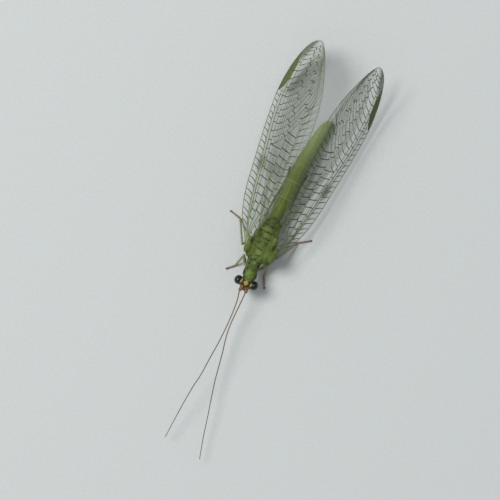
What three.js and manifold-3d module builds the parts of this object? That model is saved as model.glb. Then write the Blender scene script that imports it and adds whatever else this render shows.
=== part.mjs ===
// Green lacewing at rest with its wings held like a roof, life size.
// Millimetres, +Z up, head towards -Y, the insect's left side towards +X.

import * as THREE from "three";
import { mergeVertices } from "three/addons/utils/BufferGeometryUtils.js";
import Module from "manifold-3d";

const wasm = await Module();
wasm.setup();

// Driving dimensions
const SEAM = 0.25;
const EYE_SEAM = 0.08;
const MEMBRANE = 0.45;
const VEIN_RIDGE = 0.1;
const CROSSVEIN_RIDGE = 0.07;
const WING_LAYER = 0.86;
const FLOOR_BITE = 0.03;
const ABDOMEN_SEGMENTS = 6;
const SEGMENT_STEPS = 5;

const COLOURS = {
  body: { color: 0x64823c, roughness: 0.55, metalness: 0 },
  collar: { color: 0x6e963c, roughness: 0.5, metalness: 0 },
  head: { color: 0xbfb45a, roughness: 0.5, metalness: 0 },
  eye: { color: 0x15130f, roughness: 0.15, metalness: 0.3 },
  feeler: { color: 0x6e5037, roughness: 0.6, metalness: 0 },
  leg: { color: 0x9a8058, roughness: 0.55, metalness: 0 },
  wing: { color: 0xa5af9b, roughness: 0.25, metalness: 0 },
};

const UP = new THREE.Vector3(0, 0, 1);
const vec = (x, y, z) => new THREE.Vector3(x, y, z);
const lerp = THREE.MathUtils.lerp;
const smoothstep = THREE.MathUtils.smoothstep;

// Solids

function toSolid(geometry) {
  const bare = geometry.clone();
  for (const name of Object.keys(bare.attributes)) {
    if (name !== "position") bare.deleteAttribute(name);
  }
  const merged = mergeVertices(bare, 1e-5);
  const mesh = new wasm.Mesh({
    numProp: 3,
    vertProperties: new Float32Array(merged.attributes.position.array),
    triVerts: new Uint32Array(merged.index.array),
  });
  return new wasm.Manifold(mesh);
}

function toGeometry(solid) {
  const mesh = solid.getMesh();
  const geometry = new THREE.BufferGeometry();
  geometry.setAttribute("position", new THREE.BufferAttribute(mesh.vertProperties, 3));
  geometry.setIndex(new THREE.BufferAttribute(mesh.triVerts, 1));
  geometry.computeVertexNormals();
  return geometry;
}

// Joins the pieces of one sub-part, takes a cutter away and keeps the largest closed surface.
function fuse(pieces, cutter = null, onFloor = false) {
  let solid = toSolid(pieces[0]);
  for (const piece of pieces.slice(1)) solid = solid.add(toSolid(piece));
  if (cutter) solid = solid.subtract(toSolid(cutter));
  if (onFloor) solid = solid.trimByPlane([0, 0, 1], 0);
  const parts = solid.decompose();
  parts.sort((a, b) => b.volume() - a.volume());
  return toGeometry(parts[0]);
}

// A closed tube along a smooth curve. section(t, angle) gives the reach across and upwards.
function sweep(points, section, sides, steps) {
  const curve = new THREE.CatmullRomCurve3(points, false, "centripetal");
  const tube = new THREE.CylinderGeometry(1, 1, 1, sides, steps);
  const spots = tube.attributes.position;
  const steep = Math.abs(curve.getTangentAt(0.5).z) > 0.9;
  const guide = steep ? vec(0, 1, 0) : UP;
  for (let i = 0; i < spots.count; i++) {
    const t = spots.getY(i) + 0.5;
    const angle = Math.atan2(spots.getZ(i), spots.getX(i));
    const radial = Math.hypot(spots.getX(i), spots.getZ(i));
    const [across, upward] = section(t, angle);
    const along = curve.getTangentAt(t);
    const side = along.clone().cross(guide).normalize();
    const top = side.clone().cross(along);
    const spot = curve.getPointAt(t);
    spot.addScaledVector(side, across * radial);
    spot.addScaledVector(top, upward * radial);
    spots.setXYZ(i, spot.x, spot.y, spot.z);
  }
  return tube;
}

// A tube with a round section whose radius follows a list of values.
function limb(points, radii, sides = 7, steps = 4) {
  const radius = profile(radii.map((r, i) => [i / (radii.length - 1), r]));
  return sweep(points, (t, a) => [radius(t) * Math.cos(a), radius(t) * Math.sin(a)], sides, steps);
}

function ellipsoid(centre, radii, wide = 12, high = 8) {
  const ball = new THREE.SphereGeometry(1, wide, high);
  ball.rotateX(Math.PI / 2);
  ball.scale(...radii);
  ball.translate(...centre);
  return ball;
}

// Smooth curve through a few [x, y] pairs.
function profile(pairs) {
  const slope = (i) => {
    const before = pairs[Math.max(i - 1, 0)];
    const after = pairs[Math.min(i + 1, pairs.length - 1)];
    return (after[1] - before[1]) / (after[0] - before[0]);
  };
  return (x) => {
    let i = 0;
    while (i < pairs.length - 2 && x > pairs[i + 1][0]) i++;
    const [x0, y0] = pairs[i];
    const [x1, y1] = pairs[i + 1];
    const span = x1 - x0;
    const u = THREE.MathUtils.clamp((x - x0) / span, 0, 1);
    const rise = (1 + 2 * u) * (1 - u) ** 2 * y0 + u * u * (3 - 2 * u) * y1;
    return rise + span * (u * (1 - u) ** 2 * slope(i) - u * u * (1 - u) * slope(i + 1));
  };
}

const model = new THREE.Group();

function place(name, geometry, finish, parent = model) {
  const mesh = new THREE.Mesh(geometry, new THREE.MeshStandardMaterial(COLOURS[finish]));
  mesh.name = name;
  parent.add(mesh);
  return mesh;
}

// Wings

const FOREWING = {
  length: 13.75,
  start: 0,
  layer: 0,
  front: [[0, 0.45], [1.2, 1.35], [2.5, 1.78], [4.5, 2.0], [9, 2.2], [13.75, 1.7]],
  hind: [[0, 0.2], [1.75, 1.2], [3.2, 1.9], [5.6, 2.4], [8.9, 2.56], [13.75, 1.9]],
  roundFrom: 9.2,
  tipShift: 0.54,
  columns: 34,
};
const HINDWING = {
  length: 10.9,
  start: 2.2,
  layer: WING_LAYER,
  front: [[0, 0.25], [1.5, 0.6], [3, 1.1], [5.5, 1.5], [8, 1.5], [10.9, 1.2]],
  hind: [[0, 0.25], [1.5, 0.8], [3.5, 1.2], [6, 1.35], [8, 1.3], [10.9, 1.1]],
  roundFrom: 7,
  tipShift: 0.35,
  columns: 22,
};
// Each side's wings: where the forewing starts, its heading from straight back, its tilt and height.
const WING_SIDES = {
  right: { side: -1, root: [-0.89, -0.41, 1.9], heading: 7.3, tilt: 50.5, rise: 0.38 },
  left: { side: 1, root: [1.2, -0.35, 2.0], heading: 3.3, tilt: 55.8, rise: 0.48 },
};
const BULGE = 0.2;
const BULGE_REACH = 2.8;
const RISE_LENGTH = 1.2;
const COSTAL_SLANT = 0.5;
const HIND_SLANT = 1.1;

// Wing surface: place of a point at a distance s along the wing and c behind its long axis.
function wingFrame({ side, root, heading, tilt, rise }) {
  const turn = THREE.MathUtils.degToRad(heading) * side;
  const slope = THREE.MathUtils.degToRad(tilt);
  const along = vec(Math.sin(turn), Math.cos(turn), 0);
  const inward = vec(-side * Math.cos(turn), side * Math.sin(turn), 0);
  const chord = inward.clone().multiplyScalar(Math.cos(slope)).addScaledVector(UP, Math.sin(slope));
  const outward = inward.clone().multiplyScalar(-Math.sin(slope)).addScaledVector(UP, Math.cos(slope));
  return {
    along,
    outward,
    at(s, c, height) {
      const bulge = BULGE * (1 - (c / BULGE_REACH) ** 2) * smoothstep(s, 0, 4);
      const spot = vec(...root).addScaledVector(along, s);
      spot.z += rise * (1 - Math.exp(-Math.max(s, 0) / RISE_LENGTH));
      return spot.addScaledVector(chord, c).addScaledVector(outward, bulge + height);
    },
  };
}

// Rows of vertices from the front edge to the hind edge: [share of the chord, raised as a vein].
function wingRows(share) {
  const subcosta = lerp(0.26, 0.1, smoothstep(share, 0.05, 0.65));
  const radius = subcosta + 0.07;
  const sector = radius + 0.085;
  const media = lerp(0.5, 0.58, share);
  const cubitus = lerp(0.72, 0.8, share);
  const near = 0.03;
  return [
    [0, true],
    [near, false],
    [subcosta - near, false],
    [subcosta, true],
    [(subcosta + radius) / 2, false],
    [radius, true],
    [(radius + sector) / 2, false],
    [sector, true],
    [sector + near, false],
    [media - near, false],
    [media, true],
    [media + near, false],
    [cubitus - near, false],
    [cubitus, true],
    [cubitus + near, false],
    [1 - near, false],
    [1, true],
  ];
}

function wing(shape, frame) {
  const front = profile(shape.front);
  const hind = profile(shape.hind);
  const reachTip = (s) => {
    const t = THREE.MathUtils.clamp((s - shape.roundFrom) / (shape.length - shape.roundFrom), 0, 1);
    return Math.sqrt(1 - t * t);
  };
  const rows = wingRows(0).length;
  const spots = [];
  for (const face of [0, 1]) {
    for (let i = 0; i <= shape.columns; i++) {
      const share = Math.sin((i / shape.columns) * 1.5) / Math.sin(1.5);
      const even = lerp(i / shape.columns, share, 0.55);
      const middle = Math.sin(even * Math.PI);
      for (const [part, isVein] of wingRows(even)) {
        const slant = part < 0.25 ? COSTAL_SLANT * (0.25 - part) * 4 : HIND_SLANT * (part - 0.25) / 0.75;
        const s = shape.length * Math.min(even, 0.994) + slant * middle * middle;
        const reach = reachTip(s);
        const c = lerp(-front(s) * reach, hind(s) * reach, part) + shape.tipShift * (1 - reach);
        const ridge = isVein ? VEIN_RIDGE : (i % 2) * CROSSVEIN_RIDGE;
        const height = face === 0 ? MEMBRANE / 2 + ridge : -MEMBRANE / 2;
        spots.push(frame.at(shape.start + s, c, height - shape.layer));
      }
    }
  }
  const faceSize = (shape.columns + 1) * rows;
  const flip = frame.flip;
  const triangles = [];
  const quad = (a, b, c, d) => {
    if (flip) triangles.push(a, c, b, a, d, c);
    else triangles.push(a, b, c, a, c, d);
  };
  const id = (face, i, j) => face * faceSize + i * rows + j;
  for (let i = 0; i < shape.columns; i++) {
    for (let j = 0; j < rows - 1; j++) {
      quad(id(0, i, j), id(0, i + 1, j), id(0, i + 1, j + 1), id(0, i, j + 1));
      // The lower face repeats the same diagonal, wound the other way.
      const [a, b, c, d] = [id(1, i, j), id(1, i + 1, j), id(1, i + 1, j + 1), id(1, i, j + 1)];
      if (flip) triangles.push(a, b, c, a, c, d);
      else triangles.push(a, c, b, a, d, c);
    }
    quad(id(1, i, 0), id(1, i + 1, 0), id(0, i + 1, 0), id(0, i, 0));
    quad(id(0, i, rows - 1), id(0, i + 1, rows - 1), id(1, i + 1, rows - 1), id(1, i, rows - 1));
  }
  for (let j = 0; j < rows - 1; j++) {
    quad(id(0, 0, j), id(0, 0, j + 1), id(1, 0, j + 1), id(1, 0, j));
    const last = shape.columns;
    quad(id(1, last, j), id(1, last, j + 1), id(0, last, j + 1), id(0, last, j));
  }
  const geometry = new THREE.BufferGeometry();
  geometry.setAttribute("position", new THREE.Float32BufferAttribute(spots.flatMap((p) => p.toArray()), 3));
  geometry.setIndex(triangles);
  geometry.computeVertexNormals();
  return geometry;
}

const wingFrames = {};
for (const [name, pose] of Object.entries(WING_SIDES)) {
  const frame = wingFrame(pose);
  frame.flip = pose.side < 0;
  wingFrames[name] = frame;
  place(`forewing_${name}`, wing(FOREWING, frame), "wing");
  place(`hindwing_${name}`, wing(HINDWING, frame), "wing");
}

// Abdomen

const ABDOMEN_PATH = [
  [0.12, 1.52, 1.12], [0.08, 2.6, 1.04], [0.1, 4.1, 1.0], [0.1, 5.4, 0.88],
  [0.2, 6.6, 0.68], [0.33, 7.8, 0.44], [0.44, 8.4, 0.37], [0.54, 8.85, 0.37],
];
const ABDOMEN_WIDTH = [[0, 0.36], [0.06, 0.49], [0.3, 0.53], [0.55, 0.53], [0.75, 0.46], [0.94, 0.38], [1, 0.2]];
// The first border between segments, in segments from the front, and how far each border is drawn in.
const FIRST_BORDER = 1.2;
const BORDER_PINCH = 0.06;
const abdomenWidth = profile(ABDOMEN_WIDTH);
const abdomen = sweep(
  ABDOMEN_PATH.map((p) => vec(...p)),
  (t, angle) => {
    const turn = t * ABDOMEN_SEGMENTS - FIRST_BORDER;
    const pinch = Math.max(Math.cos(turn * 2 * Math.PI), 0) ** 12;
    const reach = abdomenWidth(t) * (1 - BORDER_PINCH * pinch);
    return [reach * Math.cos(angle), reach * 1.04 * Math.sin(angle)];
  },
  18,
  ABDOMEN_SEGMENTS * SEGMENT_STEPS,
);
place("abdomen", fuse([abdomen], null, true), "body");

// Thorax

const PROTHORAX_PATH = [[0.26, -2.62, 1.4], [0.18, -2.25, 1.39], [0.1, -1.8, 1.37]];
const PROTHORAX_WIDTH = [[0, 0.4], [0.12, 0.47], [0.45, 0.45], [0.6, 0.43], [0.9, 0.47], [1, 0.38]];
const prothoraxWidth = profile(PROTHORAX_WIDTH);
const prothorax = sweep(
  PROTHORAX_PATH.map((p) => vec(...p)),
  (t, angle) => {
    const furrow = 1 - 0.1 * Math.exp(-(((t - 0.55) / 0.06) ** 2)) * Math.max(Math.sin(angle), 0);
    const reach = prothoraxWidth(t);
    return [reach * Math.cos(angle), reach * 0.86 * furrow * Math.sin(angle)];
  },
  16,
  10,
);
place("prothorax", fuse([prothorax]), "collar");

const MESOTHORAX = { centre: [0.14, -0.87, 1.38], radii: [0.78, 0.72, 0.65] };
const METATHORAX = { centre: [0.08, 0.7, 1.33], radii: [0.64, 0.58, 0.58] };
const TEGULA = [0.3, 0.34, 0.3];
const STALK_RADIUS = 0.18;

function onSegment({ centre, radii }, [x, y, z]) {
  return [centre[0] + x * radii[0], centre[1] + y * radii[1], centre[2] + z * radii[2]];
}

const mesothoraxPieces = [ellipsoid(MESOTHORAX.centre, MESOTHORAX.radii, 20, 12)];
const metathoraxPieces = [ellipsoid(METATHORAX.centre, METATHORAX.radii, 18, 10)];
for (const side of [-1, 1]) {
  // The rounded lobes of the back, in pairs.
  mesothoraxPieces.push(ellipsoid(onSegment(MESOTHORAX, [side * 0.3, -0.42, 0.72]), [0.27, 0.33, 0.22]));
  mesothoraxPieces.push(ellipsoid(onSegment(MESOTHORAX, [side * 0.5, 0.2, 0.62]), [0.3, 0.34, 0.22]));
  metathoraxPieces.push(ellipsoid(onSegment(METATHORAX, [side * 0.42, -0.05, 0.7]), [0.27, 0.34, 0.2]));
  metathoraxPieces.push(ellipsoid(onSegment(METATHORAX, [side * 0.75, -0.25, 0.25]), [0.28, 0.4, 0.3]));
}
mesothoraxPieces.push(ellipsoid(onSegment(MESOTHORAX, [0, 0.55, 0.68]), [0.26, 0.24, 0.18]));
metathoraxPieces.push(ellipsoid(onSegment(METATHORAX, [0, 0.5, 0.68]), [0.2, 0.2, 0.15]));
for (const frame of Object.values(wingFrames)) {
  const shoulder = frame.at(-SEAM - TEGULA[1], -0.05, 0);
  mesothoraxPieces.push(ellipsoid([shoulder.x, shoulder.y, shoulder.z - 0.08], TEGULA, 10, 8));
  // A short stalk reaches back from the segment to the root of the hind wing.
  const root = frame.at(HINDWING.start - SEAM, 0, -WING_LAYER);
  const [x, y, z] = METATHORAX.centre;
  const stem = vec(lerp(x, root.x, 0.75), y + 0.1, lerp(z, root.z, 0.5));
  metathoraxPieces.push(limb([stem, stem.clone().lerp(root, 0.6), root], [0.24, 0.2, STALK_RADIUS]));
}
place("mesothorax", fuse(mesothoraxPieces), "body");
place("metathorax", fuse(metathoraxPieces), "body");

// Head

const HEAD = { centre: [0.27, -3.2, 1.42], turn: 4 };
const CRANIUM = [0.52, 0.4, 0.5];
const EYE = { centre: [0.56, 0, 0.06], radii: [0.29, 0.33, 0.38] };
const SCAPE_RADIUS = 0.14;

const head = new THREE.Group();
head.position.set(...HEAD.centre);
head.rotation.z = THREE.MathUtils.degToRad(HEAD.turn);
model.add(head);

const headPieces = [
  ellipsoid([0, 0, 0], CRANIUM, 18, 12),
  ellipsoid([0, 0.02, 0.34], [0.26, 0.24, 0.2]),
  ellipsoid([0, -0.3, -0.18], [0.31, 0.25, 0.36]),
  ellipsoid([0, -0.32, -0.48], [0.22, 0.17, 0.18]),
];
for (const side of [-1, 1]) {
  const scape = [vec(side * 0.17, -0.25, 0.06), vec(side * 0.2, -0.42, 0.12), vec(side * 0.21, -0.56, 0.2)];
  headPieces.push(limb(scape, [SCAPE_RADIUS, SCAPE_RADIUS, SCAPE_RADIUS], 6, 2));
  const palp = [vec(side * 0.14, -0.34, -0.46), vec(side * 0.2, -0.5, -0.6), vec(side * 0.18, -0.6, -0.78)];
  headPieces.push(limb(palp, [0.1, 0.09, 0.06], 6, 2));
}
place("head", fuse(headPieces), "head", head);

for (const [name, side] of [["right", -1], ["left", 1]]) {
  const centre = [EYE.centre[0] * side, EYE.centre[1], EYE.centre[2]];
  const bed = ellipsoid([0, 0, 0], CRANIUM.map((r) => r + EYE_SEAM), 18, 12);
  place(`eye_${name}`, fuse([ellipsoid(centre, EYE.radii, 14, 10)], bed), "eye", head);
}

// Feelers

const FEELERS = {
  right: [
    [0.08, -4.0, 1.7], [0.2, -4.5, 1.86], [0.34, -5.5, 2.06], [0.4, -7.4, 2.15], [0.3, -9.9, 1.95],
    [0.1, -12.2, 1.45], [0.03, -14.67, 0.85],
  ],
  left: [
    [0.54, -4.02, 1.62], [0.6, -4.5, 1.4], [0.64, -5.5, 1.2], [0.74, -7, 1.12], [1.27, -9.7, 1.1],
    [1.96, -12.3, 0.98], [2.71, -14.98, 0.75],
  ],
};
const FEELER_RADII = [0.14, 0.21, 0.22, 0.2, 0.18, 0.1];
for (const [name, points] of Object.entries(FEELERS)) {
  place(`antenna_${name}`, fuse([limb(points.map((p) => vec(...p)), FEELER_RADII, 6, 28)]), "feeler");
}

// Legs

const LEGS = {
  foreleg_right: {
    coxa: [-0.17, -2.2, 0.66], hip: [-0.42, -2.02, 0.4], knee: [-0.94, -1.52, 1.0],
    ankle: [-0.92, -2.42, 0.24], toe: [-1.31, -2.93, 0.12],
  },
  foreleg_left: {
    coxa: [0.5, -2.2, 0.66], hip: [0.74, -1.98, 0.4], knee: [1.24, -1.42, 1.0],
    ankle: [1.16, -2.28, 0.24], toe: [1.49, -2.99, 0.12],
  },
  midleg_right: {
    coxa: [-0.36, -0.65, 0.46], hip: [-0.66, -0.5, 0.32], knee: [-1.22, -0.98, 1.15],
    ankle: [-1.98, 0.49, 0.22], toe: [-2.77, 0.62, 0.12],
  },
  midleg_left: {
    coxa: [0.64, -0.65, 0.46], hip: [0.94, -0.48, 0.32], knee: [1.5, -0.84, 1.15],
    ankle: [2.13, 0.72, 0.22], toe: [2.91, 1.24, 0.12],
  },
  hindleg_right: {
    coxa: [-0.34, 0.7, 0.45], hip: [-0.58, 0.95, 0.34], knee: [-0.68, 1.9, 0.38],
    ankle: [-0.54, 4.2, 0.21], toe: [-0.62, 5.0, 0.12],
  },
  hindleg_left: {
    coxa: [0.5, 0.7, 0.45], hip: [0.75, 0.95, 0.34], knee: [0.86, 1.9, 0.38],
    ankle: [0.74, 4.2, 0.21], toe: [0.82, 5.0, 0.12],
  },
};
const LEG_RADII = { coxa: 0.2, hip: 0.23, thigh: 0.25, knee: 0.22, ankle: 0.2, toe: 0.12 };

// The hull of two balls, which is a straight rod with round ends.
function rod(from, to, radiusFrom, radiusTo) {
  const ends = [ellipsoid(from, Array(3).fill(radiusFrom), 8, 6), ellipsoid(to, Array(3).fill(radiusTo), 8, 6)];
  return toGeometry(wasm.Manifold.hull(ends.map(toSolid)));
}

// Rods from the coxa to the claws, joined at the hip, the middle of the thigh, the knee and the ankle.
for (const [name, joints] of Object.entries(LEGS)) {
  const { coxa, hip, knee, ankle } = joints;
  const thigh = hip.map((value, i) => lerp(value, knee[i], 0.5));
  const toe = [joints.toe[0], joints.toe[1], joints.toe[2] - FLOOR_BITE];
  const stops = { coxa, hip, thigh, knee, ankle, toe };
  const order = Object.keys(LEG_RADII);
  const rods = order.slice(1).map((key, i) => {
    const before = order[i];
    return rod(stops[before], stops[key], LEG_RADII[before], LEG_RADII[key]);
  });
  place(name, fuse(rods, null, true), "leg");
}

// The origin is at the middle of the base.
const bounds = new THREE.Box3().setFromObject(model);
const middle = bounds.getCenter(vec(0, 0, 0));
model.position.set(-middle.x, -middle.y, -bounds.min.z);

export default model;
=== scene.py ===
"""Green lacewing at rest: its finished surfaces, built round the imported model."""

import logging
import math
import random
from dataclasses import dataclass
from enum import Enum
from functools import reduce
from typing import Callable, Sequence

import bpy
import numpy as np
from mathutils import Matrix, Vector


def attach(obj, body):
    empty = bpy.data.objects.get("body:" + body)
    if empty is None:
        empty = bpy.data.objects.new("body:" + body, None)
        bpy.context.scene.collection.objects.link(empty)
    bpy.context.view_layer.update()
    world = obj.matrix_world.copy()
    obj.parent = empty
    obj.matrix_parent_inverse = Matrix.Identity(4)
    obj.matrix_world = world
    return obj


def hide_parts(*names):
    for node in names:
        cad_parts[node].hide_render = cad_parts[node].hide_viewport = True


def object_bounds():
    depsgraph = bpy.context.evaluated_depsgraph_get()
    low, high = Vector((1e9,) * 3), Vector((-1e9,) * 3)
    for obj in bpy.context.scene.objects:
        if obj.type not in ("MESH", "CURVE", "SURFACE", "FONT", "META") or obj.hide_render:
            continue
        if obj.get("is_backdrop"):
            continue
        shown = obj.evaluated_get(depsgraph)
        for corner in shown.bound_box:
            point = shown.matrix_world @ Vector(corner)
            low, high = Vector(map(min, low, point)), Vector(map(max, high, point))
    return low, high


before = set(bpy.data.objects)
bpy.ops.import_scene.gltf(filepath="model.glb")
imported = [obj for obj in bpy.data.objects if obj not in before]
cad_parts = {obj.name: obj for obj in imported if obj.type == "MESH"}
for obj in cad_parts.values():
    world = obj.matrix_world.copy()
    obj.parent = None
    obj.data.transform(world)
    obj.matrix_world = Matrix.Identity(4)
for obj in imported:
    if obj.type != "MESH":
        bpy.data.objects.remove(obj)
CAD_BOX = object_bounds()

LOG = logging.getLogger("lacewing")

# Pieces are shaped in millimetres in the insect's own frame, whose origin is the middle of its thorax.
MM = 0.001
BODY_ORIGIN = Vector((0.252, 0.842, 0.0))
ROOT_BODY = "root"
SEED = 11

Point = Sequence[float]
Place = tuple[float, float, float]
Colour = tuple[float, float, float]
Curve = tuple[tuple[float, float], ...]
Strand = tuple[list[Vector], float, float]
Net = dict[str, list[Strand]]


class Side(Enum):
    """The insect's own right and left."""

    RIGHT = -1
    LEFT = 1

    @property
    def word(self) -> str:
        """The side's name as the CAD nodes spell it."""
        return self.name.lower()


class Leg(Enum):
    """The three pairs of legs."""

    FORE = "foreleg"
    MID = "midleg"
    HIND = "hindleg"


def paint(red: int, green: int, blue: int) -> Colour:
    """Turns a colour of 0 to 255 a channel into Blender's linear values.

    Args:
        red: Red channel.
        green: Green channel.
        blue: Blue channel.

    Returns:
        The linear colour.
    """
    def straighten(value: int) -> float:
        """Undoes the screen's curve for one channel."""
        share = value / 255
        return share / 12.92 if share <= 0.04045 else ((share + 0.055) / 1.055) ** 2.4

    return straighten(red), straighten(green), straighten(blue)


def smooth_curve(pairs: Curve) -> Callable[[float], float]:
    """Makes a smooth function through a few pairs of numbers.

    Args:
        pairs: Points of the curve, in rising order of their first number.

    Returns:
        A function that gives the curve's height.
    """
    def slope(i: int) -> float:
        """How steep the curve is at one of its points.

        Args:
            i: The point's number.

        Returns:
            The slope.
        """
        before = pairs[max(i - 1, 0)]
        after = pairs[min(i + 1, len(pairs) - 1)]
        return (after[1] - before[1]) / (after[0] - before[0])

    def height(x: float) -> float:
        """Reads the curve, which stays level past its ends.

        Args:
            x: Where it is read.

        Returns:
            Its height there.
        """
        i = 0
        while i < len(pairs) - 2 and x > pairs[i + 1][0]:
            i += 1
        (x0, y0), (x1, y1) = pairs[i], pairs[i + 1]
        span = x1 - x0
        u = min(max((x - x0) / span, 0.0), 1.0)
        rise = (1 + 2 * u) * (1 - u) ** 2 * y0 + u * u * (3 - 2 * u) * y1
        return rise + span * (u * (1 - u) ** 2 * slope(i) - u * u * (1 - u) * slope(i + 1))

    return height


def ease(low: float, high: float, value: float) -> float:
    """Rises softly from 0 at low to 1 at high; low may be the larger number.

    Args:
        low: Where it is 0.
        high: Where it is 1.
        value: Where it is read.

    Returns:
        The share, from 0 to 1.
    """
    t = min(max((value - low) / (high - low), 0.0), 1.0)
    return t * t * (3 - 2 * t)


def smooth_path(points: Sequence[Point], count: int) -> list[Vector]:
    """Spaces points evenly along a smooth line through the given ones.

    Args:
        points: Places that the line passes.
        count: Number of points wanted.

    Returns:
        The evenly spaced points.
    """
    spots = [Vector(p) for p in points]
    chain = [spots[0] * 2 - spots[1], *spots, spots[-1] * 2 - spots[-2]]
    fine: list[Vector] = []
    steps = 24
    for a, b, c, d in zip(chain, chain[1:], chain[2:], chain[3:]):
        for k in range(steps):
            t = k / steps
            fine.append(0.5 * (2 * b + (c - a) * t + (2 * a - 5 * b + 4 * c - d) * t ** 2
                               + (3 * b - a - 3 * c + d) * t ** 3))
    fine.append(spots[-1])
    lengths = np.cumsum([0.0] + [(q - p).length for p, q in zip(fine, fine[1:])])
    wanted = np.linspace(0, lengths[-1], count)
    flat = np.array([tuple(p) for p in fine])
    return [Vector([np.interp(w, lengths, flat[:, k]) for k in range(3)]) for w in wanted]


class Signal:
    """A number that changes over a surface; arithmetic on it adds Math nodes."""

    def __init__(self, shop: "PaintShop", socket: bpy.types.NodeSocket) -> None:
        """Holds one socket of a material."""
        self.shop = shop
        self.socket = socket

    def _math(self, operation: str, first: object, second: object = 0.0) -> "Signal":
        """Adds one Math node and returns what comes out of it."""
        node = self.shop.node("ShaderNodeMath", {"operation": operation}, {0: first, 1: second})
        return Signal(self.shop, node.outputs[0])

    def __add__(self, other: object) -> "Signal":
        """Sum."""
        return self._math("ADD", self, other)

    __radd__ = __add__

    def __sub__(self, other: object) -> "Signal":
        """Difference."""
        return self._math("SUBTRACT", self, other)

    def __rsub__(self, other: object) -> "Signal":
        """Difference the other way round."""
        return self._math("SUBTRACT", other, self)

    def __mul__(self, other: object) -> "Signal":
        """Product."""
        return self._math("MULTIPLY", self, other)

    __rmul__ = __mul__

    def __truediv__(self, other: object) -> "Signal":
        """Quotient."""
        return self._math("DIVIDE", self, other)

    def maximum(self, other: object) -> "Signal":
        """The larger of two values."""
        return self._math("MAXIMUM", self, other)

    def part(self) -> "Signal":
        """What is left after the whole number."""
        return self._math("FRACT", self)

    def size(self) -> "Signal":
        """The value without its sign."""
        return self._math("ABSOLUTE", self)

    def step(self, low: float, high: float) -> "Signal":
        """Makes a soft step.

        Args:
            low: Value up to which it is 0.
            high: Value from which it is 1.

        Returns:
            The step.
        """
        node = self.shop.node(
            "ShaderNodeMapRange",
            {"interpolation_type": "SMOOTHSTEP"},
            {"Value": self, "From Min": low, "From Max": high},
        )
        return Signal(self.shop, node.outputs["Result"])


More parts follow.
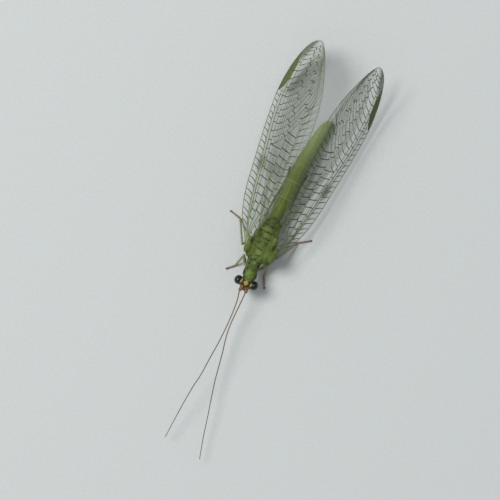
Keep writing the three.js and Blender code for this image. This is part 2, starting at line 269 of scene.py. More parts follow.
class PaintShop:
    """Builds one material out of nodes."""

    def __init__(self, name: str) -> None:
        """Starts a material with an empty node tree.

        Args:
            name: The material's name.
        """
        self.material = bpy.data.materials.new(name)
        self.material.use_nodes = True
        self.tree = self.material.node_tree
        self.tree.nodes.clear()

    def feed(self, socket: bpy.types.NodeSocket, value: object) -> None:
        """Gives a socket its value or its link.

        Args:
            socket: The socket.
            value: A signal, another node's socket, a colour or a plain value.
        """
        if isinstance(value, Signal):
            value = value.socket
        if isinstance(value, bpy.types.NodeSocket):
            self.tree.links.new(value, socket)
        elif socket.type == "RGBA":
            socket.default_value = (*value, 1.0)
        else:
            socket.default_value = value

    def node(self, kind: str, settings: dict[str, object], inputs: dict[object, object]) -> bpy.types.Node:
        """Adds a node.

        Args:
            kind: The node's type.
            settings: Its own settings, set before its sockets.
            inputs: A value or a link for each socket named.

        Returns:
            The new node.
        """
        made = self.tree.nodes.new(kind)
        for key, value in settings.items():
            setattr(made, key, value)
        for key, value in inputs.items():
            self.feed(made.inputs[key], value)
        return made

    def place(self) -> bpy.types.NodeSocket:
        """Finds the point on the surface.

        Returns:
            The point in millimetres in the insect's own frame.
        """
        coordinates = self.node("ShaderNodeTexCoord", {}, {})
        scaled = self.node(
            "ShaderNodeVectorMath",
            {"operation": "MULTIPLY_ADD"},
            {0: coordinates.outputs["Object"], 1: (1 / MM,) * 3, 2: tuple(-BODY_ORIGIN)},
        )
        return scaled.outputs[0]

    def axis(self, point: bpy.types.NodeSocket, letter: str) -> Signal:
        """One coordinate of a point."""
        return Signal(self, self.node("ShaderNodeSeparateXYZ", {}, {0: point}).outputs[letter])

    def distance(self, point: bpy.types.NodeSocket, centre: Point, stretch: Point = (1, 1, 1)) -> Signal:
        """How far a point is from a centre, with each axis stretched.

        Args:
            point: The point.
            centre: The place it is measured from.
            stretch: What each axis is multiplied by first.

        Returns:
            The distance.
        """
        away = self.node("ShaderNodeVectorMath", {"operation": "SUBTRACT"}, {0: point, 1: tuple(centre)})
        scaled = {0: away.outputs[0], 1: tuple(stretch)}
        wide = self.node("ShaderNodeVectorMath", {"operation": "MULTIPLY"}, scaled)
        length = self.node("ShaderNodeVectorMath", {"operation": "LENGTH"}, {0: wide.outputs[0]})
        return Signal(self, length.outputs["Value"])

    def noise(self, point: bpy.types.NodeSocket, scale: float, detail: float = 2.0) -> Signal:
        """Soft noise with a given scale in patches per millimetre."""
        made = self.node("ShaderNodeTexNoise", {}, {"Vector": point, "Scale": scale, "Detail": detail})
        return Signal(self, made.outputs["Fac"])

    def cells(self, point: bpy.types.NodeSocket, scale: float, feature: str = "F1") -> Signal:
        """Distance in a pattern of cells."""
        made = self.node("ShaderNodeTexVoronoi", {"feature": feature}, {"Vector": point, "Scale": scale})
        return Signal(self, made.outputs["Distance"])

    def attribute(self, name: str) -> Signal:
        """A number stored on the piece's vertices."""
        made = self.node("ShaderNodeAttribute", {"attribute_name": name}, {})
        return Signal(self, made.outputs["Fac"])

    def blend(self, first: object, second: object, share: object) -> bpy.types.NodeSocket:
        """Mixes two colours.

        Args:
            first: Colour where the share is 0.
            second: Colour where the share is 1.
            share: How much of the second.

        Returns:
            The mixed colour.
        """
        made = self.node("ShaderNodeMix", {"data_type": "RGBA"}, {})
        sockets = [s for s in made.inputs if s.enabled]
        for socket, value in zip(sockets, (share, first, second)):
            self.feed(socket, value)
        return [s for s in made.outputs if s.enabled][0]

    def bump(self, height: Signal, depth: float, strength: float = 1.0) -> bpy.types.NodeSocket:
        """Turns a height into a bent normal; depth is in millimetres."""
        inputs = {"Height": height, "Distance": depth * MM, "Strength": strength}
        return self.node("ShaderNodeBump", {}, inputs).outputs["Normal"]

    def finish(self, **sockets: object) -> bpy.types.Material:
        """Puts a Principled surface on the material.

        Args:
            **sockets: Values or links for its sockets, named with underscores for spaces.

        Returns:
            The finished material.
        """
        inputs = {key.replace("_", " "): value for key, value in sockets.items()}
        shader = self.node("ShaderNodeBsdfPrincipled", {}, inputs)
        self.node("ShaderNodeOutputMaterial", {}, {"Surface": shader.outputs[0]})
        return self.material


@dataclass(frozen=True)
class Spot:
    """A round or oval mark on the cuticle."""

    centre: Place
    radius: float
    stretch: Place = (1.0, 1.0, 1.0)


class Ground:
    """The places, noises and regions that the colours of the skin share."""

    head_end: float = -2.84
    patches: float = 2.6
    flecks: float = 7.0
    grains: float = 22.0

    def __init__(self, shop: PaintShop) -> None:
        """Reads the place and lays the noises.

        Args:
            shop: The material's shop.
        """
        self.shop = shop
        self.spot = shop.place()
        self.x, self.y, self.z = (shop.axis(self.spot, letter) for letter in "XYZ")
        self.mottle = shop.noise(self.spot, self.patches, 3.0)
        self.blotch = shop.noise(self.spot, self.flecks, 3.0)
        self.grain = shop.noise(self.spot, self.grains, 3.0)
        self.uneven = (self.mottle * 0.6 + self.blotch * 0.5 + self.grain * 0.3 - 0.2).step(0.3, 0.75)
        self.head = 1 - self.y.step(self.head_end, self.head_end + 0.06)

    def near_middle(self, middle: float, inner: float, outer: float) -> Signal:
        """A stripe along the insect, 1 within the inner distance of a middle line and 0 past the outer."""
        return 1 - (self.x - middle).size().step(inner, outer)


@dataclass(frozen=True)
class SkinFinish:
    """Green cuticle of the body with the marks of head, collar and abdomen."""

    green: Colour = paint(72, 88, 25)
    # The light colour serves the pale mottling and also the painted highlights on the thorax lobes
    light: Colour = paint(116, 134, 64)
    # The dark colour serves the dark marks and also the painted shade in the seams of the thorax
    dark: Colour = paint(30, 40, 16)
    collar: Colour = paint(108, 134, 46)
    belly: Colour = paint(98, 116, 44)
    border: Colour = paint(160, 170, 96)
    tip: Colour = paint(148, 166, 112)
    vertex: Colour = paint(170, 146, 46)
    cream: Colour = paint(150, 138, 80)
    scalp: Colour = paint(60, 56, 26)
    face: Colour = paint(136, 106, 78)
    umber: Colour = paint(58, 26, 14)
    black: Colour = paint(12, 11, 8)
    segment_start: float = 1.75
    segment_length: float = 1.22
    head_middle: float = 0.27
    chevron_row: float = -3.47
    cup_row: float = -3.68
    crown_row: float = -3.2
    temple_row: float = -3.15
    collar_centre: Place = (0.2, -2.58, 1.8)
    collar_spots: tuple[Spot, ...] = (
        Spot((-0.18, -2.58, 1.62), 0.12, (1, 0.8, 0.6)),
        Spot((0.64, -2.53, 1.6), 0.12, (1, 0.8, 0.6)),
        Spot((0.54, -1.86, 1.66), 0.12, (1, 0.9, 0.6)),
        Spot((0.28, -2.16, 1.82), 0.06),
        Spot((-0.1, -2.24, 1.76), 0.08, (1, 0.8, 0.6)),
        Spot((-0.14, -1.92, 1.74), 0.07, (1, 0.8, 0.6)),
        Spot((-0.1, -1.64, 1.76), 0.07, (0.8, 1, 0.6)),
        Spot((0.52, -2.2, 1.7), 0.06),
        Spot((-0.3, -2.2, 1.55), 0.06),
        Spot((0.66, -0.8, 1.85), 0.09, (0.6, 1, 0.5)),
        Spot((0.4, -1.5, 1.75), 0.07),
    )
    # Painted highlights: pale spots on the rounded lobes of the thorax
    pale_spots: tuple[Spot, ...] = (
        Spot((0.12, -1.0, 1.95), 0.2, (1, 1, 0.5)),
        Spot((-0.02, -1.36, 1.8), 0.11, (1, 1, 0.5)),
        Spot((0.39, -1.3, 1.8), 0.1, (1, 1, 0.5)),
        Spot((0.2, -1.75, 1.8), 0.12, (1, 1, 0.5)),
        Spot((0.05, 0.2, 1.9), 0.16, (0.7, 1, 0.5)),
        Spot((-0.05, 0.66, 1.85), 0.15, (0.7, 1, 0.5)),
    )
    sutures: tuple[tuple[float, float, float], ...] = (
        (-0.76, 0.07, 0.24), (-0.04, 0.16, 0.3), (0.43, 0.12, 0.66), (0.88, 0.0, 0.4), (1.27, -0.3, 0.12),
        (1.29, 0.32, 0.12), (-1.2, 0.22, 0.18), (-0.4, -0.35, 0.2),
    )
    head_spots: tuple[Spot, ...] = (
        Spot((0.05, -3.1, 1.84), 0.08, (1.1, 0.7, 0.6)),
        Spot((0.49, -3.08, 1.84), 0.08, (1.1, 0.7, 0.6)),
        Spot((0.27, -3.5, 1.7), 0.07, (1, 1, 0.6)),
        Spot((-0.05, -3.42, 1.7), 0.05),
        Spot((0.62, -3.4, 1.7), 0.05),
        Spot((-0.12, -3.72, 1.5), 0.06),
        Spot((0.62, -3.66, 1.5), 0.06),
    )

    def marks(self, ground: Ground) -> Signal:
        """Black spots and lines.

        Args:
            ground: What the colours of the skin share.

        Returns:
            How black the point is.
        """
        shop, spot, x, y, z = ground.shop, ground.spot, ground.x, ground.y, ground.z
        marks: list[Signal] = []
        for mark in self.collar_spots + self.head_spots:
            away = shop.distance(spot, mark.centre, mark.stretch)
            marks.append(1 - away.step(mark.radius * 0.7, mark.radius * 1.15))
        wave = (shop.noise(spot, 3.5) - 0.5) * 0.3
        for row, middle, half in self.sutures:
            line = 1 - (y + wave - row).size().step(0.02, 0.05)
            marks.append(line * ground.near_middle(middle, half * 0.8, half) * z.step(1.3, 1.5) * 0.85)
        # A dark chevron between the feelers, dark edges of their cups, and dark cheeks
        aside = (x - self.head_middle).size()
        chevron = 1 - (y - self.chevron_row - aside * 1.1).size().step(0.04, 0.085)
        marks.append(chevron * (1 - aside.step(0.24, 0.3)) * z.step(1.5, 1.6))
        cups = 1 - (y - self.cup_row - aside * 0.2).size().step(0.025, 0.06)
        marks.append(cups * (1 - aside.step(0.2, 0.3)) * z.step(1.1, 1.3))
        cheeks = 1 - (aside - 0.44).size().step(0.03, 0.07)
        marks.append(cheeks * (1 - y.step(-3.3, -3.2)) * 0.9)
        return reduce(Signal.maximum, marks)

    def dress_abdomen(self, ground: Ground, colour: bpy.types.NodeSocket) -> bpy.types.NodeSocket:
        """Pale bands where the segments of the abdomen meet, and a faint pale line along its back.

        Args:
            ground: What the colours of the skin share.
            colour: The colour so far.

        Returns:
            The new colour.
        """
        shop, y = ground.shop, ground.y
        along = (y - self.segment_start) / self.segment_length
        band = (along.part() - 0.5).size().step(0.44, 0.495) * y.step(2.2, 2.6)
        ragged = shop.noise(ground.spot, 9.0).step(0.35, 0.6)
        colour = shop.blend(colour, self.border, band * (ragged * 0.6 + 0.3) * 0.8)
        line = 1 - (ground.x - 0.1 + y * 0.02).size().step(0.02, 0.06)
        back = line * y.step(1.6, 2.2) * (1 - y.step(3.6, 4.4))
        return shop.blend(colour, self.border, back * 0.4)

    def dress_collar(self, ground: Ground, colour: bpy.types.NodeSocket) -> bpy.types.NodeSocket:
        """A darker neck with a bright collar, brightest at its front.

        Args:
            ground: What the colours of the skin share.
            colour: The colour so far.

        Returns:
            The new colour.
        """
        shop = ground.shop
        neck = (1 - ground.y.step(-1.7, -1.3)) * ground.uneven.step(0.1, 0.9)
        colour = shop.blend(colour, self.dark, neck * 0.85)
        collar = 1 - shop.distance(ground.spot, self.collar_centre, (1.0, 1.2, 0.3)).step(0.1, 0.55)
        return shop.blend(colour, self.collar, collar * (ground.mottle * 0.8 + 0.4))

    def dress_head(self, ground: Ground, colour: bpy.types.NodeSocket) -> bpy.types.NodeSocket:
        """A dark scalp with a pale nape, cream temples, a yellow crown and a brownish face.

        Args:
            ground: What the colours of the skin share.
            colour: The colour so far.

        Returns:
            The new colour.
        """
        shop, x, y, head = ground.shop, ground.x, ground.y, ground.head
        colour = shop.blend(colour, self.scalp, head)
        nape = y.step(-3.06, -2.98) * ground.near_middle(self.head_middle, 0.15, 0.3)
        colour = shop.blend(colour, self.border, nape * head * 0.35)
        aside = (x - self.head_middle).size()
        temple = (aside - 0.36).size() * 1.2 + (y - self.temple_row).size() * 0.7
        colour = shop.blend(colour, self.cream, (1 - temple.step(0.08, 0.15)) * head)
        crown = aside * 1.1 + (y - self.crown_row).size()
        colour = shop.blend(colour, self.vertex, (1 - crown.step(0.16, 0.27)) * head)
        front = (1 - y.step(-3.5, -3.36)).maximum(1 - ground.z.step(1.3, 1.5)) * head
        colour = shop.blend(colour, self.face, front)
        return shop.blend(colour, self.umber, (ground.blotch.step(0.52, 0.62) * front) * 0.6)

    def dress_plates(self, ground: Ground, colour: bpy.types.NodeSocket) -> bpy.types.NodeSocket:
        """Painted highlights on the rounded lobes of the thorax, painted shade in the seams between its
        plates, and dark blotches between them.

        Args:
            ground: What the colours of the skin share.
            colour: The colour so far.

        Returns:
            The new colour.
        """
        shop, spot, y, blotch = ground.shop, ground.spot, ground.y, ground.blotch
        # Painted highlights on the rounded lobes
        for mark in self.pale_spots:
            away = shop.distance(spot, mark.centre, mark.stretch)
            lobe = 1 - away.step(mark.radius * 0.6, mark.radius * 1.3)
            colour = shop.blend(colour, self.light, lobe * (blotch + 0.2))
        # Painted shade: the seams between the plates are darkened by how deep they lie
        groove = shop.attribute("groove").step(0.1, 0.6) * (blotch.step(0.36, 0.58) * 0.75 + 0.15)
        colour = shop.blend(colour, self.dark, groove)
        behind_head = 1 - ground.head
        crease = 1 - shop.cells(spot, 1.7, "DISTANCE_TO_EDGE").step(0.015, 0.06)
        crease = crease * ground.mottle.step(0.42, 0.56) * (1 - y.step(1.2, 1.8)) * behind_head
        colour = shop.blend(colour, self.dark, crease * 0.5)
        stain = blotch.step(0.56, 0.72) * (1 - y.step(1.0, 2.0)) * behind_head
        return shop.blend(colour, self.dark, stain * 0.8)

    def build(self) -> bpy.types.Material:
        """Makes the material.

        Returns:
            The finished material.
        """
        shop = PaintShop("cuticle")
        ground = Ground(shop)
        y, grain = ground.y, ground.grain
        colour = shop.blend(self.green, self.belly, y.step(1.2, 2.0))
        colour = shop.blend(colour, self.light, ground.uneven * 0.7)
        colour = shop.blend(colour, self.tip, y.step(4.2, 8.0) * 0.9)
        for dress in (self.dress_abdomen, self.dress_collar, self.dress_head, self.dress_plates):
            colour = dress(ground, colour)
        colour = shop.blend(colour, self.black, self.marks(ground))
        height = grain * 0.4 + ground.blotch * 0.8 + shop.cells(ground.spot, 26.0) * 0.4
        return shop.finish(
            Base_Color=colour,
            Roughness=grain * 0.25 + 0.42,
            Normal=shop.bump(height, 0.05, 0.6),
            Subsurface_Weight=0.1,
            Subsurface_Radius=(0.4, 0.6, 0.2),
            Subsurface_Scale=0.0002,
            Specular_IOR_Level=0.35,
        )


@dataclass(frozen=True)
class EyeFinish:
    """Black faceted eye with a bronze sheen painted into its colour in soft patches."""

    black: Colour = paint(14, 12, 9)
    bronze: Colour = paint(44, 32, 18)
    facets: float = 26.0

    def build(self) -> bpy.types.Material:
        """Makes the material.

        Returns:
            The finished material.
        """
        shop = PaintShop("eye_facets")
        spot = shop.place()
        facet = shop.cells(spot, self.facets)
        # Painted sheen: soft bronze patches in the eye's colour
        painted_sheen = shop.noise(spot, 2.4).step(0.45, 0.75)
        colour = shop.blend(self.black, self.bronze, painted_sheen * 0.5 + facet * 0.1)
        return shop.finish(
            Base_Color=colour,
            Roughness=facet * 0.2 + 0.2,
            Normal=shop.bump(1 - facet, 0.008, 0.5),
            Coat_Weight=0.25,
            Specular_IOR_Level=0.35,
            Coat_Roughness=0.08,
        )


@dataclass(frozen=True)
class LimbFinish:
    """Legs and feelers: a pale start that darkens towards the far end."""

    name: str
    start: Colour
    end: Colour
    joint: Colour
    roughness: float = 0.45

    def build(self) -> bpy.types.Material:
        """Makes the material; the piece's own attributes say how far along a point is.

        Returns:
            The finished material.
        """
        shop = PaintShop(self.name)
        spot = shop.place()
        grain = shop.noise(spot, 18.0, 3.0)
        colour = shop.blend(self.start, self.end, shop.attribute("along").step(0.0, 1.0))
        colour = shop.blend(colour, self.joint, shop.attribute("ring").step(0.3, 0.9) * 0.75)
        colour = shop.blend(colour, self.joint, (grain - 0.45) * 0.5)
        return shop.finish(
            Base_Color=colour,
            Roughness=grain * 0.2 + self.roughness - 0.1,
            Normal=shop.bump(grain, 0.01, 0.4),
            Specular_IOR_Level=0.45,
        )


@dataclass(frozen=True)
class MembraneFinish:
    """Clear wing membrane, faintly green, with fine ripples and a few smoky stains."""

    name: str = "membrane"
    tint: Colour = paint(92, 104, 66)
    sheen: Colour = paint(138, 147, 122)
    smoke: Colour = paint(82, 70, 46)
    alpha: float = 0.085

    def build(self) -> bpy.types.Material:
        """Makes the material.

        Returns:
            The finished material.
        """
        shop = PaintShop(self.name)
        spot = shop.place()
        cloud = shop.noise(spot, 1.1, 3.0)
        ripple = shop.noise(spot, 7.0, 3.0)
        stain = shop.attribute("smoke").step(0.0, 1.0)
        colour = shop.blend(self.tint, self.sheen, cloud.step(0.4, 0.65))
        colour = shop.blend(colour, self.smoke, stain)
        return shop.finish(
            Base_Color=colour,
            Roughness=ripple * 0.2 + 0.32,
            Alpha=(cloud * 0.05 + (self.alpha - 0.025)) * (1 - shop.attribute("clear") * 0.75) + stain * 0.42,
            Normal=shop.bump(ripple, 0.05, 0.4),
            Specular_IOR_Level=0.4,
        )


@dataclass(frozen=True)
class VeinFinish:
    """Wing veins: one colour with slight unevenness."""

    name: str
    tint: Colour
    shade: Colour

    def build(self) -> bpy.types.Material:
        """Makes the material.

        Returns:
            The finished material.
        """
        shop = PaintShop(self.name)
        spot = shop.place()
        uneven = shop.noise(spot, 2.5, 3.0)
        colour = shop.blend(self.tint, self.shade, uneven.step(0.35, 0.7))
        return shop.finish(
            Base_Color=colour,
            Roughness=uneven * 0.2 + 0.35,
            Normal=shop.bump(shop.noise(spot, 30.0), 0.004, 0.3),
        )


@dataclass(frozen=True)
class PlainFinish:
    """A finish with two close colours and a fine grain."""

    name: str
    tint: Colour
    shade: Colour
    roughness: float = 0.5

    def build(self) -> bpy.types.Material:
        """Makes the material.

        Returns:
            The finished material.
        """
        shop = PaintShop(self.name)
        spot = shop.place()
        grain = shop.noise(spot, 6.0, 4.0)
        return shop.finish(
            Base_Color=shop.blend(self.tint, self.shade, grain.step(0.35, 0.7)),
            Roughness=grain * 0.2 + self.roughness - 0.1,
            Normal=shop.bump(grain, 0.02, 0.3),
        )


class Bench:
    """The ways of making a mesh that the pieces share. Everything here is in millimetres."""

    @staticmethod
    def clear() -> None:
        """Deselects everything."""
        bpy.ops.object.select_all(action="DESELECT")

    @staticmethod
    def pick(*objects: bpy.types.Object) -> None:
        """Selects only these objects and makes the first one active.

        Args:
            *objects: The objects.
        """
        Bench.clear()
        for one in objects:
            one.select_set(True)
        bpy.context.view_layer.objects.active = objects[0]

    @staticmethod
    def ball(centre: Point, radii: Point, segments: int = 28, rings: int = 18) -> bpy.types.Object:
        """Adds an ellipsoid.

        Args:
            centre: Its middle.
            radii: Its reach along X, Y and Z.
            segments: Faces round it.
            rings: Faces from pole to pole.

        Returns:
            The new object.
        """
        Bench.clear()
        bpy.ops.mesh.primitive_uv_sphere_add(
            segments=segments, ring_count=rings, radius=1, location=tuple(centre)
        )
        made = bpy.context.active_object
        made.scale = tuple(radii)
        bpy.ops.object.transform_apply(location=True, rotation=True, scale=True)
        return made

    @staticmethod
    def sheet(columns: int, rows: int, spot: Callable[[float, float], Vector]) -> bpy.types.Object:
        """Adds a grid and lays its points on a surface.

        Args:
            columns: Faces across.
            rows: Faces along.
            spot: Gives the place for the shares across and along, from 0 to 1.

        Returns:
            The new object.
        """
        Bench.clear()
        bpy.ops.mesh.primitive_grid_add(
            x_subdivisions=columns, y_subdivisions=rows, size=2, location=(0, 0, 0)
        )
        made = bpy.context.active_object
        for vertex in made.data.vertices:
            across, along = (vertex.co.x + 1) / 2, (vertex.co.y + 1) / 2
            vertex.co = spot(across, along)
        return made

    @staticmethod
    def tube(
        points: Sequence[Point],
        radius: Callable[[float], float],
        sides: int,
        steps: int,
        high: float = 1.0,
        shape: Callable[[float, float], float] | None = None,
    ) -> bpy.types.Object:
        """Rolls a grid into a closed tube along a smooth line.

        Args:
            points: Places that the line passes.
            radius: Reach for the share along, from 0 to 1.
            sides: Faces round the tube.
            steps: Faces along it.
            high: Height of the section for a width of 1.
            shape: Multiplies the reach for the share along and the angle.

        Returns:
            The new object.
        """
        line = smooth_path(points, steps + 1)
        heading = (line[-1] - line[0]).normalized()
        guide = Vector((0, 1, 0)) if abs(heading.z) > 0.85 else Vector((0, 0, 1))

        def spot(across: float, along: float) -> Vector:
            """Places one point of the grid.

            Args:
                across: Share round the tube.
                along: Share along it.

            Returns:
                The place.
            """
            i = min(int(round(along * steps)), steps)
            ahead = (line[min(i + 1, steps)] - line[max(i - 1, 0)]).normalized()
            side = ahead.cross(guide).normalized()
            top = side.cross(ahead)
            angle = across * 2 * math.pi
            reach = radius(along) * (shape(along, angle) if shape else 1.0)
            return line[i] + side * (reach * math.cos(angle)) + top * (reach * high * math.sin(angle))

        made = Bench.sheet(sides, steps, spot)
        bpy.ops.object.mode_set(mode="EDIT")
        bpy.ops.mesh.select_all(action="SELECT")
        bpy.ops.mesh.remove_doubles(threshold=1e-5)
        bpy.ops.mesh.fill_holes(sides=0)
        bpy.ops.object.mode_set(mode="OBJECT")
        Bench.face_outwards(made)
        return made

    @staticmethod
    def face_outwards(made: bpy.types.Object) -> None:
        """Turns every face of a piece to the outside.

        Args:
            made: The piece.
        """
        Bench.pick(made)
        bpy.ops.object.mode_set(mode="EDIT")
        bpy.ops.mesh.select_all(action="SELECT")
        bpy.ops.mesh.normals_make_consistent(inside=False)
        bpy.ops.object.mode_set(mode="OBJECT")

    @staticmethod
    def join(objects: Sequence[bpy.types.Object], name: str) -> bpy.types.Object:
        """Joins objects into one and names it.

        Args:
            objects: The objects; with only one, it is just named.
            name: The piece's name.

        Returns:
            The joined piece.
        """
        Bench.pick(*objects)
        if len(objects) > 1:
            bpy.ops.object.join()
        made = bpy.context.active_object
        made.name = name
        made.data.name = name
        return made

    @staticmethod
    def apply(made: bpy.types.Object, kind: str, **settings: object) -> None:
        """Adds a modifier and applies it.

        Args:
            made: The piece.
            kind: The modifier's type.
            **settings: Its settings.
        """
        Bench.pick(made)
        modifier = made.modifiers.new(kind.lower(), kind)
        for key, value in settings.items():
            setattr(modifier, key, value)
        bpy.ops.object.modifier_apply(modifier=modifier.name)

    @staticmethod
    def cable(name: str, lines: Sequence[Strand], sides: int) -> bpy.types.Object:
        """Makes many thin round strands as one mesh.

        Args:
            name: The piece's name.
            lines: For each strand its points, and its radius at the start and at the end.
            sides: Faces round each strand, an even number.

        Returns:
            The new object.
        """
        data = bpy.data.curves.new(name, "CURVE")
        data.dimensions = "3D"
        data.bevel_depth = 1.0
        data.bevel_resolution = max(sides // 2 - 2, 0)
        data.use_fill_caps = True
        for points, start, end in lines:
            strand = data.splines.new("POLY")
            strand.points.add(len(points) - 1)
            for i, point in enumerate(points):
                strand.points[i].co = (*point, 1.0)
                strand.points[i].radius = start + (end - start) * i / (len(points) - 1)
        made = bpy.data.objects.new(name, data)
        bpy.context.collection.objects.link(made)
        Bench.pick(made)
        bpy.ops.object.convert(target="MESH")
        made = bpy.context.active_object
        made.name = name
        Bench.face_outwards(made)
        return made

    @staticmethod
    def places(made: bpy.types.Object) -> np.ndarray:
        """Reads where a piece's vertices are.

        Args:
            made: The piece.

        Returns:
            A row of X, Y and Z for each vertex.
        """
        flat = np.empty(len(made.data.vertices) * 3)
        made.data.vertices.foreach_get("co", flat)
        return flat.reshape(-1, 3)

    @staticmethod
    def mark(made: bpy.types.Object, name: str, values: Sequence[float]) -> None:
        """Stores a number for each vertex."""
        attribute = made.data.attributes.new(name, "FLOAT", "POINT")
        attribute.data.foreach_set("value", np.asarray(values, dtype=np.float32))

    @staticmethod
    def finish(
        made: bpy.types.Object,
        material: bpy.types.Material,
        slot: str,
        stands_for: Sequence[str] = (),
    ) -> bpy.types.Object:
        """Brings a piece to its size and place in the frame, paints it, lets it ride and reports it.

        Args:
            made: The piece, in millimetres in the insect's frame.
            material: Its finish.
            slot: Name of a material slot; not used.
            stands_for: CAD nodes that it replaces.

        Returns:
            The same piece.
        """
        Bench.pick(made)
        made.scale = (MM, MM, MM)
        made.location = BODY_ORIGIN * MM
        bpy.ops.object.transform_apply(location=True, rotation=True, scale=True)
        bpy.ops.object.shade_smooth()
        made.data.materials.clear()
        made.data.materials.append(material)
        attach(made, ROOT_BODY)
        if stands_for:
            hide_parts(*stands_for)
        LOG.info("%s: %d faces", made.name, len(made.data.polygons))
        return made


@dataclass(frozen=True)
class Lobe:
    """A rounded lobe: its place, which is mirrored where it is one of a pair, and its radii."""

    place: Place
    radii: Place


@dataclass(frozen=True)
class Segment:
    """One ring of the thorax, an ellipsoid with lobes on its back, placed in shares of the ring's radii."""

    centre: Place
    radii: Place
    paired: tuple[Lobe, ...]
    middle: tuple[Lobe, ...]

    def at(self, x: float, y: float, z: float) -> Place:
        """A place given as shares of the ring's own radii."""
        return tuple(c + r * s for c, r, s in zip(self.centre, self.radii, (x, y, z)))

    def lobes(self, kind: Sequence[Lobe], side: int = 1) -> list[bpy.types.Object]:
        """Makes some of the ring's lobes.

        Args:
            kind: The lobes.
            side: -1 for the insect's right, 1 for its left or the middle.

        Returns:
            The new objects.
        """
        made = []
        for lobe in kind:
            x, y, z = lobe.place
            made.append(Bench.ball(self.at(side * x, y, z), lobe.radii))
        return made


@dataclass
class Body:
    """Head, thorax and abdomen as one skin."""

    abdomen_path: tuple[Place, ...] = (
        (0.12, 1.0, 1.2), (0.1, 1.6, 1.12), (0.08, 2.6, 1.04), (0.1, 4.1, 1.0), (0.1, 5.4, 0.88),
        (0.2, 6.6, 0.68), (0.33, 7.8, 0.46), (0.44, 8.4, 0.4), (0.54, 8.84, 0.38),
    )
    abdomen_width: Curve = (
        (0, 0.42), (0.08, 0.4), (0.14, 0.5), (0.34, 0.53),
        (0.55, 0.53), (0.75, 0.46), (0.93, 0.38), (1, 0.22),
    )
    prothorax_path: tuple[Place, ...] = (
        (0.28, -2.95, 1.4), (0.27, -2.7, 1.4), (0.18, -2.25, 1.39), (0.1, -1.5, 1.36),
    )
    prothorax_width: Curve = (
        (0, 0.36), (0.1, 0.42), (0.2, 0.48), (0.45, 0.47), (0.55, 0.43), (0.72, 0.47), (1, 0.5),
    )
    mesothorax: Segment = Segment(
        centre=(0.15, -0.87, 1.38),
        radii=(0.8, 0.86, 0.64),
        paired=(
            Lobe((0.24, -0.7, 0.5), (0.22, 0.24, 0.18)),
            Lobe((0.33, -0.25, 0.6), (0.29, 0.3, 0.21)),
            Lobe((0.5, 0.3, 0.52), (0.34, 0.36, 0.21)),
            Lobe((0.7, -0.45, 0.38), (0.3, 0.34, 0.22)),
            Lobe((0.86, 0.1, 0.35), (0.26, 0.42, 0.3)),
            Lobe((0.68, 0.78, 0.3), (0.34, 0.5, 0.32)),
            Lobe((0.45, -0.5, -0.62), (0.26, 0.3, 0.26)),
        ),
        middle=(
            Lobe((0, 0.42, 0.66), (0.26, 0.3, 0.18)),
            Lobe((0, 0.92, 0.5), (0.4, 0.22, 0.18)),
        ),
    )
    metathorax: Segment = Segment(
        centre=(0.08, 0.62, 1.33),
        radii=(0.66, 0.86, 0.57),
        paired=(
            Lobe((0.46, -0.4, 0.5), (0.32, 0.36, 0.21)),
            Lobe((0.74, -0.1, 0.3), (0.26, 0.42, 0.28)),
            Lobe((0.44, 0.4, 0.42), (0.3, 0.36, 0.18)),
        ),
        middle=(
            Lobe((0, 0.16, 0.68), (0.28, 0.3, 0.17)),
            Lobe((0, 0.72, 0.5), (0.36, 0.24, 0.2)),
        ),
    )
    head_centre: Place = (0.27, -3.16, 1.42)
    head_turn: float = 4.0
    # Capsule, crown, forehead, face and mouth, placed from the middle of the head
    head_middle: tuple[Lobe, ...] = (
        Lobe((0, 0.02, 0), (0.52, 0.38, 0.48)),
        Lobe((0, 0.04, 0.36), (0.25, 0.24, 0.17)),
        Lobe((0, -0.22, 0.2), (0.3, 0.2, 0.22)),
        Lobe((0, -0.31, -0.18), (0.3, 0.24, 0.34)),
        Lobe((0, -0.36, -0.46), (0.2, 0.14, 0.18)),
    )
    # Temples, jaws and the cups of the feelers
    head_paired: tuple[Lobe, ...] = (
        Lobe((0.34, -0.1, 0.24), (0.2, 0.22, 0.2)),
        Lobe((0.2, -0.28, -0.46), (0.13, 0.16, 0.2)),
        Lobe((0.19, -0.4, 0.12), (0.12, 0.1, 0.12)),
    )
    eye: Lobe = Lobe((0.56, 0.0, 0.06), (0.27, 0.31, 0.38))
    shoulder_radii: Place = (0.26, 0.42, 0.24)
    fore_flank_radii: Place = (0.36, 0.5, 0.3)
    hind_flank_radii: Place = (0.24, 0.44, 0.2)
    flank_share: float = 0.35
    seam_depth: float = 0.012
    voxel: float = 0.024
    smoothing: int = 36

    def in_head(self, x: float, y: float, z: float) -> Vector:
        """A place in the head's own frame."""
        turn = Matrix.Rotation(math.radians(self.head_turn), 3, "Z")
        return Vector(self.head_centre) + turn @ Vector((x, y, z))

    def abdomen(self) -> bpy.types.Object:
        """Makes the long soft abdomen with its ringed segments.

        Returns:
            The abdomen as a closed tube.
        """
        stations = 200
        line = smooth_path(self.abdomen_path, stations)
        finish = SkinFinish()

        def ring(along: float, angle: float) -> float:
            """Pinches the tube where segments meet, and a little along its sides.

            Args:
                along: Share along the abdomen.
                angle: Angle round it.

            Returns:
                What the reach is multiplied by.
            """
            y = line[min(int(along * (stations - 1)), stations - 1)].y
            phase = (y - finish.segment_start) / finish.segment_length
            pinch = math.exp(-((phase - round(phase)) / 0.07) ** 2)
            side = math.exp(-(abs(math.sin(angle)) / 0.18) ** 2)
            return 1 - 0.05 * pinch - 0.03 * side

        return Bench.tube(self.abdomen_path, smooth_curve(self.abdomen_width), 40, 130, 1.04, ring)

    def prothorax(self) -> bpy.types.Object:
        """Makes the narrow first ring behind the head.

        Returns:
            The ring as a closed tube.
        """

